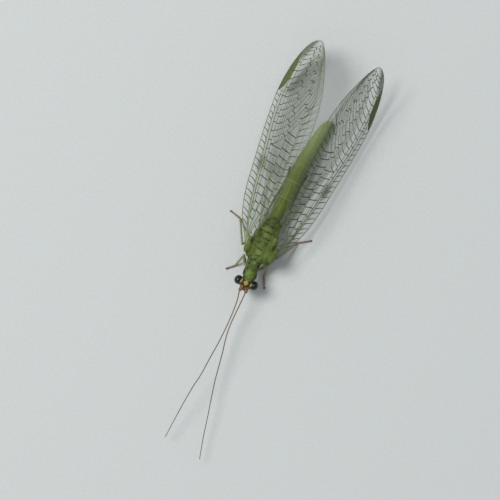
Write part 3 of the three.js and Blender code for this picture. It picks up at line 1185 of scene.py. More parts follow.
        def saddle(along: float, angle: float) -> float:
            """Presses two furrows into the top.

            Args:
                along: Share along the ring.
                angle: Angle round it.

            Returns:
                What the reach is multiplied by.
            """
            top = max(math.sin(angle), 0)
            furrow = math.exp(-((along - 0.52) / 0.05) ** 2) + 0.6 * math.exp(-((along - 0.3) / 0.04) ** 2)
            return 1 - 0.07 * furrow * top

        return Bench.tube(self.prothorax_path, smooth_curve(self.prothorax_width), 32, 40, 0.88, saddle)

    def thorax(self) -> list[bpy.types.Object]:
        """Makes the three rings of the thorax with the lobes of their backs.

        Returns:
            The new objects.
        """
        rings = (self.mesothorax, self.metathorax)
        pieces = [self.prothorax()]
        pieces += [Bench.ball(ring.centre, ring.radii) for ring in rings]
        for side in Side:
            for ring in rings:
                pieces += ring.lobes(ring.paired, side.value)
        for ring in rings:
            pieces += ring.lobes(ring.middle)
        return pieces

    def head(self) -> list[bpy.types.Object]:
        """Makes the head capsule with crown, face, mouthparts and the cups of the feelers.

        Returns:
            The new objects.
        """
        pieces = [Bench.ball(self.in_head(*lobe.place), lobe.radii) for lobe in self.head_middle]
        for side in Side:
            for lobe in self.head_paired:
                x, y, z = lobe.place
                pieces.append(Bench.ball(self.in_head(side.value * x, y, z), lobe.radii))
        return pieces

    def wing_roots(self, wings: dict[Side, "WingBlade"]) -> list[bpy.types.Object]:
        """Makes the rounded shoulders that carry the wings.

        Args:
            wings: The wing surfaces, by side.

        Returns:
            The new objects.
        """
        pieces = []
        for blade in wings.values():
            shoulder, root = blade.at(-0.6, 0.08, -0.1), blade.at(0.15, 0.05, -0.05)
            fore_flank = shoulder.lerp(Vector(self.mesothorax.centre), self.flank_share)
            hind_flank = root.lerp(Vector(self.metathorax.centre), self.flank_share)
            pieces += [
                Bench.ball(shoulder, self.shoulder_radii),
                Bench.ball(fore_flank, self.fore_flank_radii),
                Bench.ball(hind_flank, self.hind_flank_radii),
                Bench.tube([shoulder, (shoulder + root) / 2, root], lambda t: 0.2 - 0.1 * t, 16, 8),
            ]
        return pieces

    def groove(self, made: bpy.types.Object) -> np.ndarray:
        """Measures how deep each vertex lies in a seam, which sets the painted shade there.

        Args:
            made: The skin.

        Returns:
            A number for each vertex, 0 on open skin and about 1 in a seam.
        """
        mesh = made.data
        count = len(mesh.vertices)
        spots = Bench.places(made)
        normals = np.empty(count * 3)
        mesh.vertices.foreach_get("normal", normals)
        normals = normals.reshape(-1, 3)
        edges = np.empty(len(mesh.edges) * 2, dtype=np.int64)
        mesh.edges.foreach_get("vertices", edges)
        edges = edges.reshape(-1, 2)

        def average(values: np.ndarray) -> np.ndarray:
            """Averages values over each vertex's neighbours.

            Args:
                values: A row for each vertex.

            Returns:
                The averaged rows.
            """
            total = np.zeros_like(values)
            number = np.zeros((count, 1))
            for a, b in ((0, 1), (1, 0)):
                np.add.at(total, edges[:, a], values[edges[:, b]])
                np.add.at(number, edges[:, a], 1.0)
            return total / np.maximum(number, 1)

        around = spots
        for _ in range(4):
            around = average(around)
        depth = np.sum((around - spots) * normals, axis=1)
        depth = average(depth.reshape(-1, 1))[:, 0]
        return np.clip(depth / self.seam_depth, 0, 1.5)

    def build(self, wings: dict[Side, "WingBlade"]) -> bpy.types.Object:
        """Makes the skin.

        Args:
            wings: The wing surfaces, by side.

        Returns:
            The finished skin.
        """
        pieces = [self.abdomen(), *self.thorax(), *self.head(), *self.wing_roots(wings)]
        skin = Bench.join(pieces, "body_skin")
        Bench.apply(skin, "REMESH", mode="VOXEL", voxel_size=self.voxel)
        # How deep each vertex lies in a seam, kept for the painted shade there
        Bench.mark(skin, "groove", self.groove(skin))
        Bench.apply(skin, "SMOOTH", factor=0.5, iterations=self.smoothing)
        nodes = ("head", "prothorax", "mesothorax", "metathorax", "abdomen")
        return Bench.finish(skin, SkinFinish().build(), "body_green", nodes)

    def eyes(self) -> None:
        """The two bulging eyes."""
        material = EyeFinish().build()
        x, y, z = self.eye.place
        for side in Side:
            made = Bench.ball(self.in_head(side.value * x, y, z), self.eye.radii, 48, 32)
            made = Bench.join([made], f"eye_{side.word}_facets")
            Bench.finish(made, material, "eye_dark", (f"eye_{side.word}",))


@dataclass
class Bristles:
    """Short pale hairs set on the skin, each a thin three-sided spike."""

    count: int = 2600
    length: float = 0.13
    thickness: float = 0.006
    sunk: float = 0.01
    lowest: float = 0.02
    head_end: float = -2.8
    chart_start: float = -4.2
    chart_length: float = 13.5
    patch: float = 0.003

    def grow(self, skin: bpy.types.Object) -> list[tuple[Vector, Vector, Vector]]:
        """Chooses where the hairs stand and how they lean, fewer on the head.

        Args:
            skin: The finished skin, in the frame's metres.

        Returns:
            For each hair its root, its tip and the skin's direction outwards, in millimetres.
        """
        rng = random.Random(SEED)
        faces = skin.data.polygons
        areas = [face.area for face in faces]
        hairs = []
        for index in rng.choices(range(len(faces)), weights=areas, k=self.count):
            root = faces[index].center / MM - BODY_ORIGIN
            normal = faces[index].normal
            if root.y < self.head_end and rng.random() < 0.5:
                continue
            lean = Vector((rng.uniform(-0.3, 0.3), rng.uniform(0.5, 1.1), rng.uniform(-0.2, 0.2)))
            flow = lean - normal * lean.dot(normal)
            length = self.length * rng.uniform(0.6, 1.2)
            tip = root + (normal * 0.8 + flow * 0.7).normalized() * length
            if tip.z >= self.lowest:
                hairs.append((root, tip, normal))
        return hairs

    def chart(self, mesh: bpy.types.Mesh, hairs: list[tuple[Vector, Vector, Vector]]) -> None:
        """Gives the hairs their UV map, laid out by their place round and along the body.

        Args:
            mesh: The hairs, with four faces each.
            hairs: Their roots, tips and directions.
        """
        chart = mesh.uv_layers.new(name="OFBake")
        corner = ((0, 0), (self.patch, 0), (0, self.patch))
        for face in mesh.polygons:
            root = hairs[face.index // 4][0]
            u = math.atan2(root.z - 1.1, root.x - 0.15) / (2 * math.pi) + 0.5
            v = (root.y - self.chart_start) / self.chart_length
            for k, loop in enumerate(face.loop_indices):
                chart.data[loop].uv = (u + corner[k][0], v + corner[k][1])

    def build(self, skin: bpy.types.Object) -> bpy.types.Object:
        """Sets the hairs over the body, leaning back.

        Args:
            skin: The finished skin, in the frame's metres.

        Returns:
            The hairs as one piece.
        """
        hairs = self.grow(skin)
        verts: list[Vector] = []
        triangles: list[tuple[int, int, int]] = []
        for root, tip, normal in hairs:
            side = normal.orthogonal().normalized()
            start = len(verts)
            for k in range(3):
                turn = Matrix.Rotation(k * 2 * math.pi / 3, 3, normal)
                verts.append(root - normal * self.sunk + (turn @ side) * self.thickness)
            verts.append(tip)
            triangles.append((start, start + 2, start + 1))
            triangles += [(start + k, start + (k + 1) % 3, start + 3) for k in range(3)]
        mesh = bpy.data.meshes.new("bristles")
        mesh.from_pydata(verts, [], triangles)
        made = bpy.data.objects.new("body_bristles", mesh)
        bpy.context.collection.objects.link(made)
        self.chart(mesh, hairs)
        finish = PlainFinish("bristle", paint(156, 160, 100), paint(104, 110, 60))
        return Bench.finish(made, finish.build(), "body_green")


@dataclass
class WingBlade:
    """The curved and sloping surface on which one side's two wings lie."""

    side: Side
    root: Place
    heading: float
    tilt: float
    rise: float
    bulge: float = 0.2
    bulge_reach: float = 2.8
    bulge_grows: float = 4.0
    rise_length: float = 1.2

    def at(self, s: float, c: float, height: float) -> Vector:
        """A place on the wing.

        Args:
            s: Distance along the wing from its root.
            c: Distance behind its long axis.
            height: Distance out of its surface.

        Returns:
            The place in the insect's frame.
        """
        k = self.side.value
        turn, slope = math.radians(self.heading) * k, math.radians(self.tilt)
        along = Vector((math.sin(turn), math.cos(turn), 0))
        inward = Vector((-k * math.cos(turn), k * math.sin(turn), 0))
        up = Vector((0, 0, 1))
        chord = inward * math.cos(slope) + up * math.sin(slope)
        outward = inward * -math.sin(slope) + up * math.cos(slope)
        bulge = self.bulge * (1 - (c / self.bulge_reach) ** 2) * ease(0, self.bulge_grows, s)
        rise = self.rise * (1 - math.exp(-max(s, 0.0) / self.rise_length))
        return Vector(self.root) + along * s + up * rise + chord * c + outward * (bulge + height)


@dataclass
class Wing:
    """One wing: its membrane, its net of veins and its fringe.

    Places on it are s, the distance along it from its root, and part, the share across it from its front
    edge to its hind edge.
    """

    name: str
    blade: WingBlade
    length: float
    start: float
    layer: float
    front: Curve
    hind: Curve
    round_from: float
    tip_shift: float
    is_fore: bool
    vein: float = 0.021
    stem: float = 0.5
    subcosta_part: float = 0.26
    branch_reach: float = 4.3
    front_steps: int = 23
    sector_steps: int = 20
    forks: int = 20
    step_gap: float = 0.55
    branch_gap: float = 0.46
    media_share: float = 0.55
    cubitus_share: float = 0.64
    branch_share: float = 0.46
    corner_share: float = 0.2
    stigma_start: float = 0.72
    stigma_end: float = 0.92

    def rounding(self, s: float) -> float:
        """How much of its width the wing keeps near its round tip."""
        t = min(max((s - self.round_from) / (self.length - self.round_from), 0.0), 1.0)
        return math.sqrt(max(1 - t * t, 0.0))

    def spot(self, s: float, part: float, height: float = 0.0) -> Vector:
        """Finds a place on the wing.

        Args:
            s: Distance along it.
            part: Share across it.
            height: Distance out of its surface.

        Returns:
            The place in the insect's frame.
        """
        s = min(s, self.length)
        tip = self.rounding(s)
        front, hind = smooth_curve(self.front)(s) * tip, smooth_curve(self.hind)(s) * tip
        narrow = ease(-self.stem, 0.0, s) * 0.6 + 0.4 if s < 0 else 1.0
        across = (-front + (front + hind) * part) * narrow + self.tip_shift * (1 - tip)
        return self.blade.at(self.start + s, across, height - self.layer)

    def subcosta(self, s: float) -> float:
        """Where the second vein lies across the wing."""
        return self.subcosta_part + (0.1 - self.subcosta_part) * ease(0.05, 0.65, s / self.length)

    def radius(self, s: float) -> float:
        """Where the third and strongest vein lies."""
        return self.subcosta(s) + 0.06

    def sector(self, s: float) -> float:
        """Where the vein that carries the branches lies."""
        return self.radius(s) + 0.075 * ease(0.05, 0.2, s / self.length)

    def media(self, s: float) -> float:
        """Where the middle lengthwise vein lies, slightly zigzag."""
        return 0.5 + 0.08 * s / self.length + 0.012 * math.sin(s * 5.5)

    def cubitus(self, s: float) -> float:
        """Where the inner lengthwise vein lies, slightly zigzag."""
        return 0.72 + 0.08 * s / self.length + 0.012 * math.sin(s * 5.5 + 1.5)

    def corner(self, s: float) -> float:
        """Where the short vein at the inner corner lies."""
        return 0.6 + 0.32 * ease(-0.3, self.length * self.corner_share, s)

    def line(self, start: float, end: float, row: Callable[[float], float]) -> list[Vector]:
        """Points of a vein that keeps to a row along the wing."""
        count = max(int(abs(end - start) / 0.2), 2)
        return [self.spot(s, row(s)) for s in np.linspace(start, end, count + 1)]

    def cross(
        self,
        first: tuple[float, float],
        last: tuple[float, float],
        sag: float = 0.0,
        count: int = 4,
    ) -> list[Vector]:
        """Lays a short vein between two places, slightly bowed.

        Args:
            first: Where it starts, along and across.
            last: Where it ends, along and across.
            sag: How far it bows along the wing.
            count: Number of stretches.

        Returns:
            Its points.
        """
        (s0, part0), (s1, part1) = first, last
        points = []
        for k in range(count + 1):
            t = k / count
            s = s0 + (s1 - s0) * t + sag * math.sin(math.pi * t)
            points.append(self.spot(s, part0 + (part1 - part0) * t))
        return points

    def outline(self) -> list[Vector]:
        """Follows the margin, with its points closer together near the tip.

        Returns:
            Its points from the root out to the tip and back.
        """
        stretches = 80
        shares = [1 - (1 - k / stretches) ** 1.8 for k in range(stretches + 1)]
        whole = self.length + self.stem
        out = [self.spot(whole * t - self.stem, 0.0) for t in shares]
        back = [self.spot(whole * t - self.stem, 1.0) for t in reversed(shares)]
        return out + back[1:]

    def branch(self, s0: float, until: float = 1.0, count: int = 16) -> list[tuple[float, float]]:
        """A branch of the sector, which leaves it steeply and then runs towards the tip.

        Args:
            s0: Where it leaves the sector.
            until: The row across the wing where it stops.
            count: Number of stretches.

        Returns:
            Its points, as places along and across.
        """
        room = self.length - s0
        reach = min(self.branch_reach, room * 0.8)
        row = self.sector(s0)
        steep = 0.08 + 0.5 * ease(0.55, 0.95, s0 / self.length)
        pairs = []
        for k in range(count + 1):
            t = k / count * (until - row) / (1 - row)
            lean = steep * t + (1.3 - steep) * t * t - 0.3 * t * t * t
            pairs.append((s0 + reach * lean, row + (1 - row) * t))
        return pairs

    def add_long_veins(self, net: Net) -> None:
        """Adds the margin and the strong veins that run along the wing.

        Args:
            net: The strands so far, by tone.
        """
        length, v, root = self.length, self.vein, -self.stem
        margin = self.outline()
        tip = len(margin) // 2
        quarter, past_tip = tip // 2, tip + 8
        net["green"].append((margin[: quarter + 1], v * 1.2, v))
        net["dark"].append((margin[quarter:past_tip], v * 0.9, v * 0.6))
        net["grey"].append((margin[past_tip:], v * 0.9, v * 0.7))
        media_end, cubitus_end = length * self.media_share, length * self.cubitus_share

        def media_root(s: float) -> float:
            """The middle vein, drawn in towards the root."""
            return 0.42 + (self.media(s) - 0.42) * ease(0, length * 0.12, s)

        def cubitus_root(s: float) -> float:
            """The inner vein, drawn in towards the root."""
            return 0.52 + (self.cubitus(s) - 0.52) * ease(0, length * 0.16, s)

        net["green"] += [
            (self.line(root, length * 0.86, self.subcosta), v * 1.7, v * 0.9),
            (self.line(root, length * 0.985, self.radius), v * 2.1, v * 0.9),
            (self.line(length * 0.06, length * 0.97, self.sector), v * 1.2, v * 0.7),
            (self.line(root, media_end, media_root), v * 1.5, v * 0.7),
            (self.line(root, cubitus_end, cubitus_root), v * 1.5, v * 0.7),
            (self.line(length * 0.14, media_end, lambda s: self.media(s) + 0.035), v, v * 0.7),
            (self.line(length * 0.18, cubitus_end, lambda s: self.cubitus(s) + 0.035), v, v * 0.7),
            (self.line(root, length * self.corner_share, self.corner), v * 1.4, v * 0.8),
        ]

    def add_front_steps(self, net: Net) -> None:
        """Adds the crossveins of the front field, which lean towards the root as they go in.

        Args:
            net: The strands so far, by tone.
        """
        rng = random.Random(SEED + len(self.name))
        length, v, dark = self.length, self.vein, net["dark"]
        field_start, field_end = length * 0.02, length * 0.72
        for k in range(self.front_steps):
            s = field_start + (field_end - field_start) * (k + rng.uniform(-0.1, 0.1)) / self.front_steps
            lean = 0.36 * (1 - 0.5 * s / field_end)
            dark.append((self.cross((s, self.subcosta(s)), (s + lean, 0.0), 0.05), v * 1.35, v * 0.85))
        # Short steps between the strong front veins, and down to the sector
        for k in range(self.sector_steps):
            s = length * (0.08 + 0.88 * k / self.sector_steps)
            ends = (s, self.radius(s)), (s + 0.05, self.sector(s))
            dark.append((self.cross(*ends, 0.0, 2), v * 1.2, v * 1.2))
        for share in (0.09, 0.7, 0.76, 0.82):
            s = length * share
            dark.append((self.cross((s, self.subcosta(s)), (s, self.radius(s)), 0.0, 2), v, v))

    def add_branches(self, net: Net) -> None:
        """Adds the steps to the middle vein, the branches of the sector, and the steps between them.

        Args:
            net: The strands so far, by tone.
        """
        length, v, dark, grey = self.length, self.vein, net["dark"], net["grey"]
        first = length * self.branch_share
        s, back = length * 0.1, 0.16
        while s < first:
            ends = (s, self.sector(s)), (s - back, self.media(s - back))
            dark.append((self.cross(*ends, -0.03), v * 1.4, v * 1.4))
            s += self.step_gap
        starts = [first]
        while starts[-1] < length * 0.94:
            starts.append(starts[-1] + min(self.branch_gap, (length - starts[-1]) * 0.1 + 0.2))
        dark_stretches = 3
        for s in starts:
            points = [self.spot(*place) for place in self.branch(s)]
            dark.append((points[: dark_stretches + 1], v * 1.2, v * 0.9))
            grey.append((points[dark_stretches:], v * 0.8, v * 0.5))
        # Two rows of steps, staggered from branch to branch
        for i, (s0, s1) in enumerate(zip(starts, starts[1:])):
            for row in (0.5, 0.73):
                inner = self.branch(s0, row + 0.035 * (i % 2) + 0.03)[-1]
                outer = self.branch(s1, row + 0.035 * (i % 2) - 0.04)[-1]
                if outer[0] < length * 0.985:
                    dark.append((self.cross(inner, outer, 0.0, 2), v * 1.2, v * 1.2))
        # Forked ends of the branches
        for s in starts:
            fork = self.branch(s, 0.86)[-1]
            end = self.branch(min(s + 0.22, length * 0.95))[-1]
            if end[0] < length * 0.99:
                grey.append((self.cross(fork, end, 0.02, 3), v * 0.6, v * 0.5))

    def add_hind_veins(self, net: Net) -> None:
        """Adds the cells between the two inner veins, and the forks to the hind edge.

        Args:
            net: The strands so far, by tone.
        """
        length, v, dark, grey = self.length, self.vein, net["dark"], net["grey"]
        cells_start, cells_end, back = length * 0.14, length * 0.56, 0.24
        s = cells_start
        while s < cells_end:
            ends = (s, self.media(s)), (s - back, self.cubitus(s - back))
            dark.append((self.cross(*ends, -0.04), v * 1.4, v * 1.4))
            s += self.step_gap
        for k in range(self.forks):
            s = length * (0.03 + 0.66 * k / self.forks)
            lean = 1.3 * (k / self.forks) ** 1.6 - 0.3
            row = self.cubitus(s) if s > cells_start else self.corner(s)
            knee = (s + lean * 0.5, row + (1 - row) * 0.5)
            dark.append((self.cross((s, row), knee, 0.02, 3), v * 1.2, v * 0.9))
            for spread in (-0.12, 0.14):
                grey.append((self.cross(knee, (s + lean + spread, 1.0), 0.0, 3), v * 0.75, v * 0.55))

    def add_tip_steps(self, net: Net) -> None:
        """Adds the short dark steps over the stigma, and the short veins beyond it.

        Args:
            net: The strands so far, by tone.
        """
        v = self.vein
        for k in range(6):
            s = self.length * (0.715 + 0.032 * k)
            net["dark"].append((self.cross((s, self.radius(s)), (s + 0.1, 0.01), 0.0, 2), v, v * 0.6))
        for k in range(8):
            s = self.length * (0.875 + 0.0135 * k)
            net["grey"].append((self.cross((s, self.radius(s)), (s + 0.22, 0.0), 0.0, 2), v * 0.6, v * 0.5))

    def net(self) -> Net:
        """Works out every vein.

        Returns:
            For each tone its strands.
        """
        net: Net = {"green": [], "grey": [], "dark": []}
        self.add_long_veins(net)
        self.add_front_steps(net)
        self.add_branches(net)
        self.add_hind_veins(net)
        self.add_tip_steps(net)
        return net

    def smoke(self, s: float, part: float) -> float:
        """How smoky the membrane is: a stain in mid-wing, a streak behind the tip's edge and a light haze.

        Args:
            s: Distance along the wing.
            part: Share across it.

        Returns:
            The smoke, from 0 to 1; a hindwing has none.
        """
        if not self.is_fore:
            return 0.0
        share = s / self.length
        stain = math.exp(-((share - 0.36) / 0.04) ** 2 - ((part - 0.2) / 0.12) ** 2)
        streak = ease(0.82, 0.92, share) * math.exp(-(part / (0.1 + 0.25 * ease(0.84, 1.0, share))) ** 2)
        haze = 0.16 * ease(0.7, 1.0, share) + 0.1 * ease(0.4, 0.0, part) * ease(0.1, 0.4, share)
        return min(stain * 0.8 + streak + haze, 1.0)

    def membrane(self, material: bpy.types.Material) -> None:
        """Makes the clear sheet between the veins.

        Args:
            material: Its finish.
        """
        smoke: list[float] = []
        clear: list[float] = []

        def spot(across: float, along: float) -> Vector:
            """Places one point of the sheet, and notes how smoky and how clear it is there.

            Args:
                across: Share across the wing.
                along: Share along it.

            Returns:
                The place.
            """
            share = 1 - (1 - along) ** 1.6
            s = -self.stem + (self.length + self.stem) * min(share, 0.9995)
            smoke.append(self.smoke(s, across))
            clear.append(ease(0.55, 0.85, across) * (1 - ease(0.5, 0.75, share)))
            return self.spot(s, across)

        made = Bench.sheet(28, 96, spot)
        Bench.mark(made, "smoke", smoke)
        Bench.mark(made, "clear", clear)
        Bench.apply(made, "SOLIDIFY", thickness=0.012, offset=0.0)
        Bench.face_outwards(made)
        made = Bench.join([made], f"{self.name}_membrane")
        Bench.finish(made, material, "wing_clear", (self.name,))

    def stigma(self, material: bpy.types.Material) -> None:
        """Makes the thick green patch near the tip of the front edge.

        Args:
            material: Its finish.
        """
        first, last = self.length * self.stigma_start, self.length * self.stigma_end

        def spot(across: float, along: float) -> Vector:
            """Places one point of the patch.

            Args:
                across: Share across the patch.
                along: Share along it.

            Returns:
                The place.
            """
            s = first + (last - first) * along
            width = math.sin(math.pi * (0.03 + 0.94 * along)) ** 0.8
            return self.spot(s, 0.01 + self.radius(s) * 0.95 * across * width, 0.004)

        made = Bench.sheet(5, 26, spot)
        Bench.apply(made, "SOLIDIFY", thickness=0.034, offset=0.0)
        made = Bench.join([made], f"{self.name}_stigma")
        Bench.finish(made, material, "wing_clear")

    def fringe(self, material: bpy.types.Material) -> None:
        """Makes the fine hairs along the margin.

        Args:
            material: Their finish.
        """
        rng = random.Random(SEED + 5)
        margin = self.outline()
        middle = self.spot(self.length * 0.5, 0.5)
        hairs = []
        bare = 4
        for a, b in zip(margin[bare:], margin[bare + 1 :]):
            edge = b - a
            count = max(int(edge.length / 0.07), 1)
            outward = edge.cross(self.blade.at(5, 0, 1) - self.blade.at(5, 0, 0)).normalized()
            if outward.dot(a - middle) < 0:
                outward = -outward
            for k in range(count):
                root = a + edge * ((k + rng.random()) / count)
                lean = edge.normalized() * 0.3
                hairs.append(([root, root + (outward + lean) * rng.uniform(0.07, 0.12)], 0.007, 0.002))
        made = Bench.cable(f"{self.name}_fringe", hairs, 4)
        Bench.finish(made, material, "wing_clear")

    def build(self, finishes: dict[str, bpy.types.Material]) -> None:
        """Makes the wing.

        Args:
            finishes: The finishes of membrane, veins, stigma and hair.
        """
        self.membrane(finishes["membrane"])
        for tone, strands in self.net().items():
            made = Bench.cable(f"{self.name}_{tone}_veins", strands, 6)
            shown = "grey" if tone == "dark" and not self.is_fore else tone
            Bench.finish(made, finishes[shown], "wing_clear")
        if self.is_fore:
            self.stigma(finishes["stigma"])
        self.fringe(finishes["hair"])


@dataclass
class Feeler:
    """One antenna: a thick first joint, a short second one and a long ringed whip."""

    side: Side
    points: tuple[Place, ...]
    rings: int = 74
    start_radius: float = 0.042
    end_radius: float = 0.024
    cup: Place = (0.19, -0.42, 0.12)
    dark_from: float = -3.7
    dark_over: float = 6.0
    dark_ring: float = -4.02

    def build(self, body: Body, material: bpy.types.Material) -> None:
        """Makes the feeler.

        Args:
            body: The body, for the cup that it stands in.
            material: Its finish.
        """
        x, y, z = self.cup
        cup = body.in_head(self.side.value * x, y, z)
        first = Vector(self.points[0])
        scape = Bench.tube([cup, cup.lerp(first, 0.5), cup.lerp(first, 0.8)],
                           smooth_curve(((0, 0.09), (0.5, 0.125), (1, 0.1))), 20, 12)
        pedicel = Bench.tube([cup.lerp(first, 0.78), cup.lerp(first, 0.9), first],
                             smooth_curve(((0, 0.07), (0.5, 0.085), (1, 0.06))), 16, 8)

        def ringed(along: float) -> float:
            """The whip's reach at a share along it, pinched between its rings."""
            reach = self.start_radius + (self.end_radius - self.start_radius) * along
            return reach * (1 - 0.16 * math.cos(along * self.rings * 2 * math.pi) ** 8)

        whip = Bench.tube([first.lerp(cup, 0.05), *self.points[1:]], ringed, 8, self.rings * 4)
        made = Bench.join([scape, pedicel, whip], f"antenna_{self.side.word}_ringed")
        forward = Bench.places(made)[:, 1]
        Bench.mark(made, "along", np.clip((self.dark_from - forward) / self.dark_over, 0, 1))
        Bench.mark(made, "ring", np.exp(-((forward - self.dark_ring) / 0.05) ** 2))
        Bench.finish(made, material, "feeler_brown", (f"antenna_{self.side.word}",))


@dataclass
class LegLimb:
    """One leg from its hip joint to its claws."""

    pair: Leg
    side: Side
    coxa: Place
    hip: Place
    knee: Place
    ankle: Place
    toe: Place
    femur_radius: float = 0.11
    tibia_radius: float = 0.062
    foot_radius: float = 0.05
    foot_joints: tuple[float, ...] = (0.0, 0.38, 0.56, 0.7, 0.82, 1.0)
    pad_radii: Place = (0.045, 0.045, 0.03)
    hair_floor: float = 0.01
    dark_below: float = 0.95
    dark_over: float = 0.9

    def hairs(
        self, start: Vector, end: Vector, radius: float, count: int, rng: random.Random
    ) -> list[Strand]:
        """Sets short hairs round one length of the leg.

        Args:
            start: Where the length starts.
            end: Where it ends.
            radius: Its reach.
            count: Number of hairs tried.
            rng: The source of chance.

        Returns:
            The hairs as strands.
        """
        along = (end - start).normalized()
        side = along.orthogonal().normalized()
        made = []
        for _ in range(count):
            turn = Matrix.Rotation(rng.uniform(0, 2 * math.pi), 3, along)
            away = turn @ side
            root = start.lerp(end, rng.uniform(0.05, 0.95)) + away * radius * 0.8
            tip = root + (away + along * 0.9).normalized() * rng.uniform(0.07, 0.12)
            if min(root.z, tip.z) > self.hair_floor:
                made.append(([root, tip], 0.006, 0.002))
        return made

    def claws(self, ankle: Vector, toe: Vector) -> list[Strand]:
        """Lays the two claws.

        Args:
            ankle: Where the foot starts.
            toe: Where it ends.

        Returns:
            The claws as strands.
        """
        ahead = (toe - ankle).normalized()
        across = ahead.cross(Vector((0, 0, 1))).normalized()
        made = []
        for k in (-1, 1):
            bend = toe + ahead * 0.05 + across * 0.045 * k + Vector((0, 0, 0.02))
            made.append(([toe, bend, bend + ahead * 0.04 - Vector((0, 0, 0.035))], 0.02, 0.005))
        return made

    def build(self, material: bpy.types.Material) -> None:
        """Makes the leg.

        Args:
            material: Its finish.
        """
        rng = random.Random(SEED + self.side.value + len(self.pair.value))
        places = (self.coxa, self.hip, self.knee, self.ankle, self.toe)
        coxa, hip, knee, ankle, toe = (Vector(place) for place in places)
        f, t, r = self.femur_radius, self.tibia_radius, self.foot_radius
        pieces = [
            Bench.tube([coxa, coxa.lerp(hip, 0.5), hip],
                       smooth_curve(((0, 0.17), (0.6, 0.14), (1, 0.09))), 18, 10),
            Bench.ball(hip, (0.1, 0.1, 0.1), 16, 10),
            Bench.tube([hip, hip.lerp(knee, 0.5), knee],
                       smooth_curve(((0, f * 0.75), (0.35, f), (0.8, f * 0.8), (1, t * 1.1))), 18, 18),
            Bench.ball(knee, (t * 1.25,) * 3, 16, 10),
            Bench.tube([knee, knee.lerp(ankle, 0.5), ankle],
                       smooth_curve(((0, t * 0.9), (0.3, t), (0.9, t), (1, t * 1.1))), 14, 16),
        ]
        # Five joints of the foot, the first one long
        for a, b in zip(self.foot_joints, self.foot_joints[1:]):
            start, end = ankle.lerp(toe, a), ankle.lerp(toe, b)
            pieces.append(Bench.tube([start, start.lerp(end, 0.5), end.lerp(start, 0.04)],
                                     smooth_curve(((0, r * 0.7), (0.75, r), (1, r * 0.85))), 12, 6))
        pad = toe + (toe - ankle).normalized() * 0.03
        strands = [
            *self.claws(ankle, toe),
            *self.hairs(hip, knee, f, 26, rng),
            *self.hairs(knee, ankle, t, 60, rng),
            *self.hairs(ankle, toe, r, 30, rng),
        ]
        pieces.append(Bench.ball((pad.x, pad.y, self.pad_radii[2]), self.pad_radii, 12, 8))
        pieces.append(Bench.cable("strands", strands, 4))
        name = f"{self.pair.value}_{self.side.word}"
        made = Bench.join(pieces, f"{name}_jointed")
        spots = Bench.places(made)
        near_toe = np.linalg.norm(spots - np.array(toe), axis=1)
        Bench.mark(made, "along", np.clip((self.dark_below - spots[:, 2]) / self.dark_over, 0, 1) ** 3)
        Bench.mark(made, "ring", np.exp(-(near_toe / 0.12) ** 2))
        Bench.finish(made, material, "leg_tan", (name,))


@dataclass
class Studio:
    """Floor, light and camera."""

    heading: float = 26.5
    view_width: float = 33.0
    distance: float = 400.0
    centre: Place = (-0.47, -1.12, 1.5)
    sensor: float = 36.0
    key_place: Place = (-0.22, 0.12, 0.38)
    key_size: float = 0.2
    key_energy: float = 1.6
    key_colour: Colour = (1.0, 0.985, 0.96)
    sky_colour: Colour = (0.93, 0.97, 1.0)
    sky_strength: float = 0.405
    floor_size: float = 3.0

    def camera(self) -> None:
        """Looks straight down, turned so that the insect lies as in the photograph."""
        bpy.ops.object.camera_add(location=(0, 0, 0))
        camera = bpy.context.active_object
        x, y, z = (Vector(self.centre) + BODY_ORIGIN) * MM
        camera.location = (x, y, z + self.distance * MM)
        camera.rotation_euler = (0, 0, math.radians(self.heading))
        camera.data.sensor_width = self.sensor
        camera.data.lens = self.sensor * self.distance / self.view_width
        camera.data.clip_start = 0.01
        camera.data.clip_end = 10.0
        bpy.context.scene.camera = camera

    def floor(self) -> None:
        """The plain pale floor."""
        bpy.ops.mesh.primitive_plane_add(size=self.floor_size, location=(0, 0, 0))
        floor = bpy.context.active_object
        floor.name = "floor"
        finish = PlainFinish("floor_paint", paint(204, 209, 208), paint(200, 205, 205), 0.8)
        floor.data.materials.append(finish.build())
        floor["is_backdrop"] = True

    def light(self) -> None:
        """A large soft light from the upper left and a pale sky."""
        turn = Matrix.Rotation(math.radians(self.heading), 4, "Z")
        bpy.ops.object.light_add(type="AREA", location=(0, 0, 0))
        key = bpy.context.active_object
        key.data.shape = "DISK"
        key.data.size = self.key_size
        key.data.energy = self.key_energy
        key.data.color = self.key_colour
        place = turn @ Vector(self.key_place)
        key.location = place
        key.rotation_euler = (-place).to_track_quat("-Z", "Y").to_euler()
        world = bpy.data.worlds.new("sky")
        bpy.context.scene.world = world
        world.use_nodes = True
        backdrop = world.node_tree.nodes["Background"]
        backdrop.inputs["Color"].default_value = (*self.sky_colour, 1.0)
        backdrop.inputs["Strength"].default_value = self.sky_strength

    def build(self) -> None:
        """Sets up the studio."""
        self.camera()
        self.floor()
        self.light()
        bpy.context.scene.view_settings.view_transform = "Standard"


